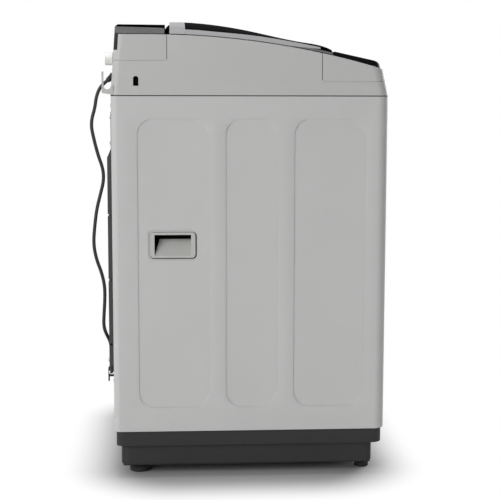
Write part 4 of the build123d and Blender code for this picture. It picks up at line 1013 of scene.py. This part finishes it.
@dataclass
class CabinetTrim:
    """Painted shade: a dark band in the joint under the top cover and a dark ring round each handle's bezel."""

    seam: float = 0.786
    band: float = 0.0019
    bezel_half: tuple[float, float] = (0.0460, 0.0260)
    bezel_centre: tuple[float, float] = (0.1490, 0.4845)
    bezel_corner: float = 0.0082
    shade_ring_at: float = 0.2713
    shade_ring_wide: float = 0.0035
    shade_ring_thick: float = 0.0012

    def build(self) -> None:
        """Make the cabinet's small dark lines of painted shade."""
        self._seam_shade_line()
        # Painted shade round both handles' bezels.
        MeshPiece("handle_shade_rings", "cabinet", "dark_plastic").place(
            joined([self._handle_shade_ring(-1), self._handle_shade_ring(1)]), finish=SHADOW_GAP
        )

    def _seam_shade_line(self) -> None:
        """Painted shade: a dark band on the cabinet's outer wall just under the cover, for the shade in their joint.
        """
        bm = merged_copy("cabinet_shell")
        every = list(bm.verts) + list(bm.edges) + list(bm.faces)
        bmesh.ops.bisect_plane(
            bm, geom=every, dist=1e-6, plane_co=(0, 0, self.seam - self.band), plane_no=(0, 0, 1), clear_inner=True
        )
        inner = [f for f in bm.faces if not self._outermost(f)]
        bmesh.ops.delete(bm, geom=inner, context="FACES")
        bmesh.ops.solidify(bm, geom=bm.faces, thickness=-0.00015)
        bmesh.ops.recalc_face_normals(bm, faces=bm.faces)
        # The band is painted shade in the joint between cover and cabinet.
        MeshPiece("seam_shade_line", "cabinet", "dark_plastic").place(bm, finish=SHADOW_GAP)

    @staticmethod
    def _outermost(face: BMFace) -> bool:
        """Whether a face belongs to the cabinet's outer wall.

        Args:
            face: The face.

        Returns:
            True for an upright face that looks away from the machine's middle.
        """
        centre = face.calc_center_median()
        outwards = Vector((centre.x, centre.y - TUB_AXIS_Y, 0))
        reach = max(abs(centre.x) / HALF_WIDTH, abs(centre.y - TUB_AXIS_Y) / HALF_DEPTH)
        return abs(face.normal.z) < 0.2 and face.normal.dot(outwards) > 0 and reach > 0.955

    def _handle_shade_ring(self, side: int) -> BMesh:
        """The dark ring of painted shade round a handle's bezel, wider in front and below, where the bezel's edges
        face away from the light.

        Args:
            side: -1 or 1, the machine's side along X.

        Returns:
            A thin closed ring.
        """
        bm = bmesh.new()
        bmesh.ops.create_grid(bm, x_segments=1, y_segments=1, size=1)
        half_y, half_z = self.bezel_half
        bmesh.ops.scale(bm, verts=bm.verts, vec=(half_y + 0.0012, half_z + 0.0011, 1))
        bmesh.ops.bevel(
            bm, geom=bm.verts, offset=self.bezel_corner, offset_type="OFFSET", affect="VERTICES", segments=8,
            profile=0.5, material=-1,
        )
        rim = bmesh.ops.inset_region(
            bm, faces=bm.faces, thickness=self.shade_ring_wide, use_even_offset=True, use_boundary=True
        )["faces"]
        bmesh.ops.delete(bm, geom=[f for f in bm.faces if f not in rim], context="FACES")
        walls = bmesh.ops.extrude_face_region(bm, geom=list(bm.faces))["geom"]
        outer = [v for v in walls if isinstance(v, BMVert)]
        bmesh.ops.translate(bm, verts=outer, vec=(0, 0, self.shade_ring_thick))
        turn = Matrix(((0, 0, side), (1, 0, 0), (0, 1, 0))).to_4x4()
        y, z = self.bezel_centre
        # Shifted to the front and down, so the painted shade shows wider on the sides that face away from the light.
        bm.transform(Matrix.Translation((side * self.shade_ring_at, y - 0.0006, z - 0.0006)) @ turn)
        bmesh.ops.recalc_face_normals(bm, faces=bm.faces)
        return bm


@dataclass
class LidHeel:
    """Black rounded heel along the lid's back edge, which turns inside the gap to the deck."""

    hinge: tuple[float, float] = (0.142, 0.922)
    radius: float = 0.0211
    wall: float = 0.1535
    spans: tuple[tuple[float, float], ...] = ((-0.234, -0.133), (-0.117, 0.117), (0.133, 0.234))
    roof: tuple[float, float] = (0.9195, 0.9365)
    roof_half: float = 0.230
    step: float = 0.02

    def build(self) -> None:
        """Make the heel in three lengths, with room for the hinge lugs between them."""
        bars = [self._bar(span) for span in self.spans]
        MeshPiece("lid_heel", "lid", "dark_plastic").place(joined(bars), finish=DECK_BLACK)

    def _outline(self) -> list[tuple[float, float]]:
        """The heel's section, an arc about the hinge closed by a straight wall.

        Returns:
            Corners (y, z).
        """
        y, z = self.hinge
        angles = [math.radians(-42 + 8 * k) for k in range(13)]
        arc = [(y + self.radius * math.cos(a), z + self.radius * math.sin(a)) for a in angles]
        arc = [p for p in arc if p[0] > self.wall]
        return [(self.wall, arc[0][1]), *arc, (self.wall, arc[-1][1])]

    def _bar(self, span: tuple[float, float]) -> BMesh:
        """Carry the section along X and keep it under the crown.

        Args:
            span: Where the bar starts and ends along X.

        Returns:
            The closed bar.
        """
        outline = self._outline()
        bm = bmesh.new()
        rim = [bm.verts.new((span[0], y, z)) for y, z in outline]
        face = bmesh.ops.contextual_create(bm, geom=rim)["faces"][0]
        steps = math.ceil((span[1] - span[0]) / self.step)
        for _ in range(steps):
            grown = bmesh.ops.extrude_face_region(bm, geom=[face])["geom"]
            bmesh.ops.delete(bm, geom=[face], context="FACES_ONLY")
            face = next(g for g in grown if isinstance(g, BMFace))
            bmesh.ops.translate(bm, verts=face.verts, vec=((span[1] - span[0]) / steps, 0, 0))
        bottom = min(z for _, z in outline)
        top = max(z for _, z in outline)
        for vert in bm.verts:
            crown = 1 - (vert.co.x / self.roof_half) ** 2
            limit = self.roof[0] + (self.roof[1] - self.roof[0]) * crown - 0.0004
            vert.co.z = bottom + (vert.co.z - bottom) * min(1.0, (limit - bottom) / (top - bottom))
        ends = [e for e in bm.edges if e.is_boundary]
        bmesh.ops.holes_fill(bm, edges=ends, sides=0)
        bmesh.ops.recalc_face_normals(bm, faces=bm.faces)
        return bm


@dataclass
class SuspensionSprings:
    """The four springs between the cabinet's rods and the tub."""

    def build(self) -> None:
        """Make one piece of all springs."""
        piece = MeshPiece("spring_coils", "", "zinc_steel", ("suspension_springs",))
        coils = piece.place(merged_copy("suspension_springs"))
        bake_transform(coils)


@dataclass
class BackScrews:
    """Pan heads on the back, each with a dark cross of painted shade for its cross recess."""

    cell: float = 0.012
    apart: float = 0.014

    def build(self) -> None:
        """Make a domed head over each plain one, with a dark cross of painted shade for its recess."""
        screws = merged_copy("cabinet_screws")
        heads, marks = [], []
        profile = [(0, 0.0007), (0.0012, 0.0007), (0.0027, 0.0005), (0.0037, 0.0)]
        profile += [(0.0041, -0.0006), (0.0041, -0.0019), (0, -0.0019)]
        for centre in self._centres(screws):
            place = frame_along(Vector(centre), Vector((0, 1, 0)))
            dome = turned(profile, 24)
            dome.transform(place)
            heads.append(dome)
            for size in ((0.0018, 0.00035), (0.00035, 0.0018)):
                bar = slab((-size[0], -size[1], 0.0), (size[0], size[1], 0.00078), 0.0001)
                bar.transform(place)
                marks.append(bar)
        screws.free()
        MeshPiece("screw_heads", "cabinet", "zinc_steel").place(joined(heads), 40)
        # The crosses are painted shade standing in for cut recesses.
        MeshPiece("screw_recess_shade", "cabinet", "dark_plastic").place(joined(marks), finish=CUP_SHADE)

    def _centres(self, bm: BMesh) -> list[Triple]:
        """Where the heads' outer faces are.

        Args:
            bm: The screws' merged shape.

        Returns:
            One point per screw.
        """
        spots: dict[tuple[int, int], list[Vector]] = {}
        for vert in bm.verts:
            spots.setdefault((round(vert.co.x / self.cell), round(vert.co.z / self.cell)), []).append(vert.co)
        groups: list[list[Vector]] = []
        for points in spots.values():
            for group in groups:
                if (group[0] - points[0]).length < self.apart:
                    group.extend(points)
                    break
            else:
                groups.append(list(points))
        found = []
        for group in groups:
            x = (min(p.x for p in group) + max(p.x for p in group)) / 2
            z = (min(p.z for p in group) + max(p.z for p in group)) / 2
            found.append((x, max(p.y for p in group), z))
        return found


@dataclass
class PanelPrint:
    """Plain marks, pinstripe and digits on the control panel."""

    slope: float = 12.3
    lift: float = 0.00012
    display_x: float = -0.020
    lights_from: float = -0.100
    lights_apart: float = 0.018

    def build(self) -> None:
        """Make the panel's print and the display's digits."""
        marks: list[BMesh] = []
        for name in ("power", "start", "program", "level", "delay"):
            low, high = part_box(f"{name}_button")
            x = (low.x + high.x) / 2
            reach = (high.x - low.x) / 2 if name in ("power", "start") else 0.008
            marks.append(self._patch(x, 0.0195, 0.0045 if reach > 0.01 else 0.006, 0.0005))
            marks.append(self._patch(x, -0.0200, 0.0007, 0.0007))
        for up in (0.0235, -0.0235):
            marks.append(self._patch(self.display_x, up, 0.052, 0.0003))
        for k in range(5):
            x = self.lights_from - self.lights_apart * k
            marks.append(self._patch(x, 0.010, 0.0012, 0.0012))
            marks.append(self._patch(x, 0.002, 0.0050, 0.0004))
        MeshPiece("panel_print", "cabinet", "button_plastic").place(joined(marks), finish=PRINT_WHITE)
        lit = []
        for place, segments in ((-0.044, "abcdef"), (-0.024, "bcfg"), (-0.008, "acdfg")):
            lit += self._digit(place, segments)
        lit += [self._patch(-0.034, 0.004, 0.0007, 0.0007), self._patch(-0.034, -0.004, 0.0007, 0.0007)]
        MeshPiece("display_digits", "cabinet", "button_plastic").place(joined(lit), finish=LED_GREEN)

    def _patch(self, x: float, up: float, half_x: float, half_up: float) -> BMesh:
        """A thin printed patch on the panel's slope.

        Args:
            x: Its middle along X.
            up: Its middle up the slope from the row of buttons.
            half_x: Half its width.
            half_up: Half its height.

        Returns:
            The closed patch.
        """
        low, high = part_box("display_window")
        tilt = Matrix.Rotation(math.radians(self.slope), 4, "X")
        middle = Vector((0, (low.y + high.y) / 2, 0))
        middle.z = high.z - (high.y - middle.y) * math.tan(math.radians(self.slope))
        bm = slab((x - half_x, up - half_up, -0.0001), (x + half_x, up + half_up, self.lift))
        bm.transform(Matrix.Translation(middle) @ tilt)
        return bm

    def _digit(self, x: float, lit: str) -> list[BMesh]:
        """One seven-segment digit.

        Args:
            x: The digit's middle.
            lit: Letters of its lit segments, a to g.

        Returns:
            The segments' patches.
        """
        half, tall, thick, gap = 0.0042, 0.0074, 0.0007, 0.001
        across, upright = (half - gap, thick), (thick, tall / 2 - gap)
        spots = {
            "a": (0, tall, *across), "b": (half, tall / 2, *upright), "c": (half, -tall / 2, *upright),
            "d": (0, -tall, *across), "e": (-half, -tall / 2, *upright), "f": (-half, tall / 2, *upright),
            "g": (0, 0, *across),
        }
        return [self._patch(x + spots[k][0], *spots[k][1:]) for k in lit]


ACCENTS: tuple[Accent, ...] = (
    # Painted shade in the two grooves down the top cover's sides.
    Accent("top_cover", GROOVE_SHADE, low=(0.2, 0.1583, 0.8575), high=(0.276, 0.1595, 0.95)),
    Accent("top_cover", GROOVE_SHADE, low=(0.2, -0.1531, 0.8170), high=(0.276, -0.1517, 0.95)),
    Accent("rear_deck", DECK_BLACK, low=(-1.0, -1.0, 0.911), high=(0.234, 1.0, 2.0), facing=(0, 0, 1), least=0.6),
    # Painted shade under the rear deck's overhang at its back.
    Accent("rear_deck", SKIRT_SHADE, low=(-1.0, 0.25, 0.85), high=(1.0, 0.3, 0.9077)),
    Accent("lid_frame", DECK_BLACK, low=(-1.0, -1.0, 0.0), high=(0.236, 1.0, 2.0), facing=(0, 0, 1), least=0.6),
    Accent("lid_grip", DECK_BLACK, low=(-1.0, -1.0, 0.0), high=(0.252, 1.0, 2.0), facing=(0, 0, 1), least=0.6),
    # Painted shade inside each handle's cup: the slot, the walls that face the front and the back wall.
    Accent("side_handles", CUP_SHADE, low=(0.2, 0.1, 0.4946), high=(0.2690, 0.2, 0.52)),
    Accent("side_handles", CUP_SHADE, low=(0.2, 0.1, 0.4600), high=(0.2690, 0.2, 0.52), facing=(0, -1, 0), least=0.5),
    Accent("side_handles", CUP_SHADE, low=(0.2, 0.1, 0.4600), high=(0.2690, 0.2, 0.52), facing=(1, 0, 0), least=0.95),
    Accent("inlet_valve", THREAD, low=(0.15, 0.2706, 0.84), high=(0.21, 0.2850, 0.88)),
)

OUTSIDE: dict[str, float] = {
    "cabinet_shell": 0.0006,
    "side_handles": 0.0005,
    "base_frame": 0.0012,
    "top_cover": 0.0008,
    "back_panel": 0.0004,
    "back_cover": 0.0006,
    "rear_deck": 0.0006,
    "lid_frame": 0.0004,
    "lid_grip": 0.0005,
    "lid_rear_rail": 0.0005,
    "lid_glass": 0.0005,
    "control_panel": 0.0005,
    "hose_hook": 0.0005,
    "detergent_drawer": 0.0006,
    "rear_feet": 0.0008,
    "front_foot_left": 0.0008,
    "front_foot_right": 0.0008,
    "cord_clips": 0.0004,
    "inlet_valve": 0.0003,
    "strain_relief": 0.0004,
    "cord_tie": 0.0003,
    "pulsator": 0.001,
    "pulsator_cap": 0.0005,
    "balance_ring": 0.0006,
    "wash_basket": 0.0,
    "lint_filters": 0.0005,
    "power_button": 0.0005,
    "start_button": 0.0005,
    "program_button": 0.0005,
    "level_button": 0.0005,
    "delay_button": 0.0005,
}


def main() -> None:
    """Build the machine's looks in order."""
    Studio().build()
    MainsLead().build()
    hidden = {"power_cord", "cord_coil", "plug", "suspension_springs"}
    inner = tuple(n for n in sorted(frame["nodes"]) if n not in OUTSIDE and n not in hidden)
    CadSkin(inner, OUTSIDE, ACCENTS, {"cabinet_shell": 0.0040}).dress()
    CabinetTrim().build()
    LidHeel().build()
    SuspensionSprings().build()
    BackScrews().build()
    PanelPrint().build()
    bpy.context.scene.view_settings.view_transform = "Standard"


if __name__ == "__main__":
    main()
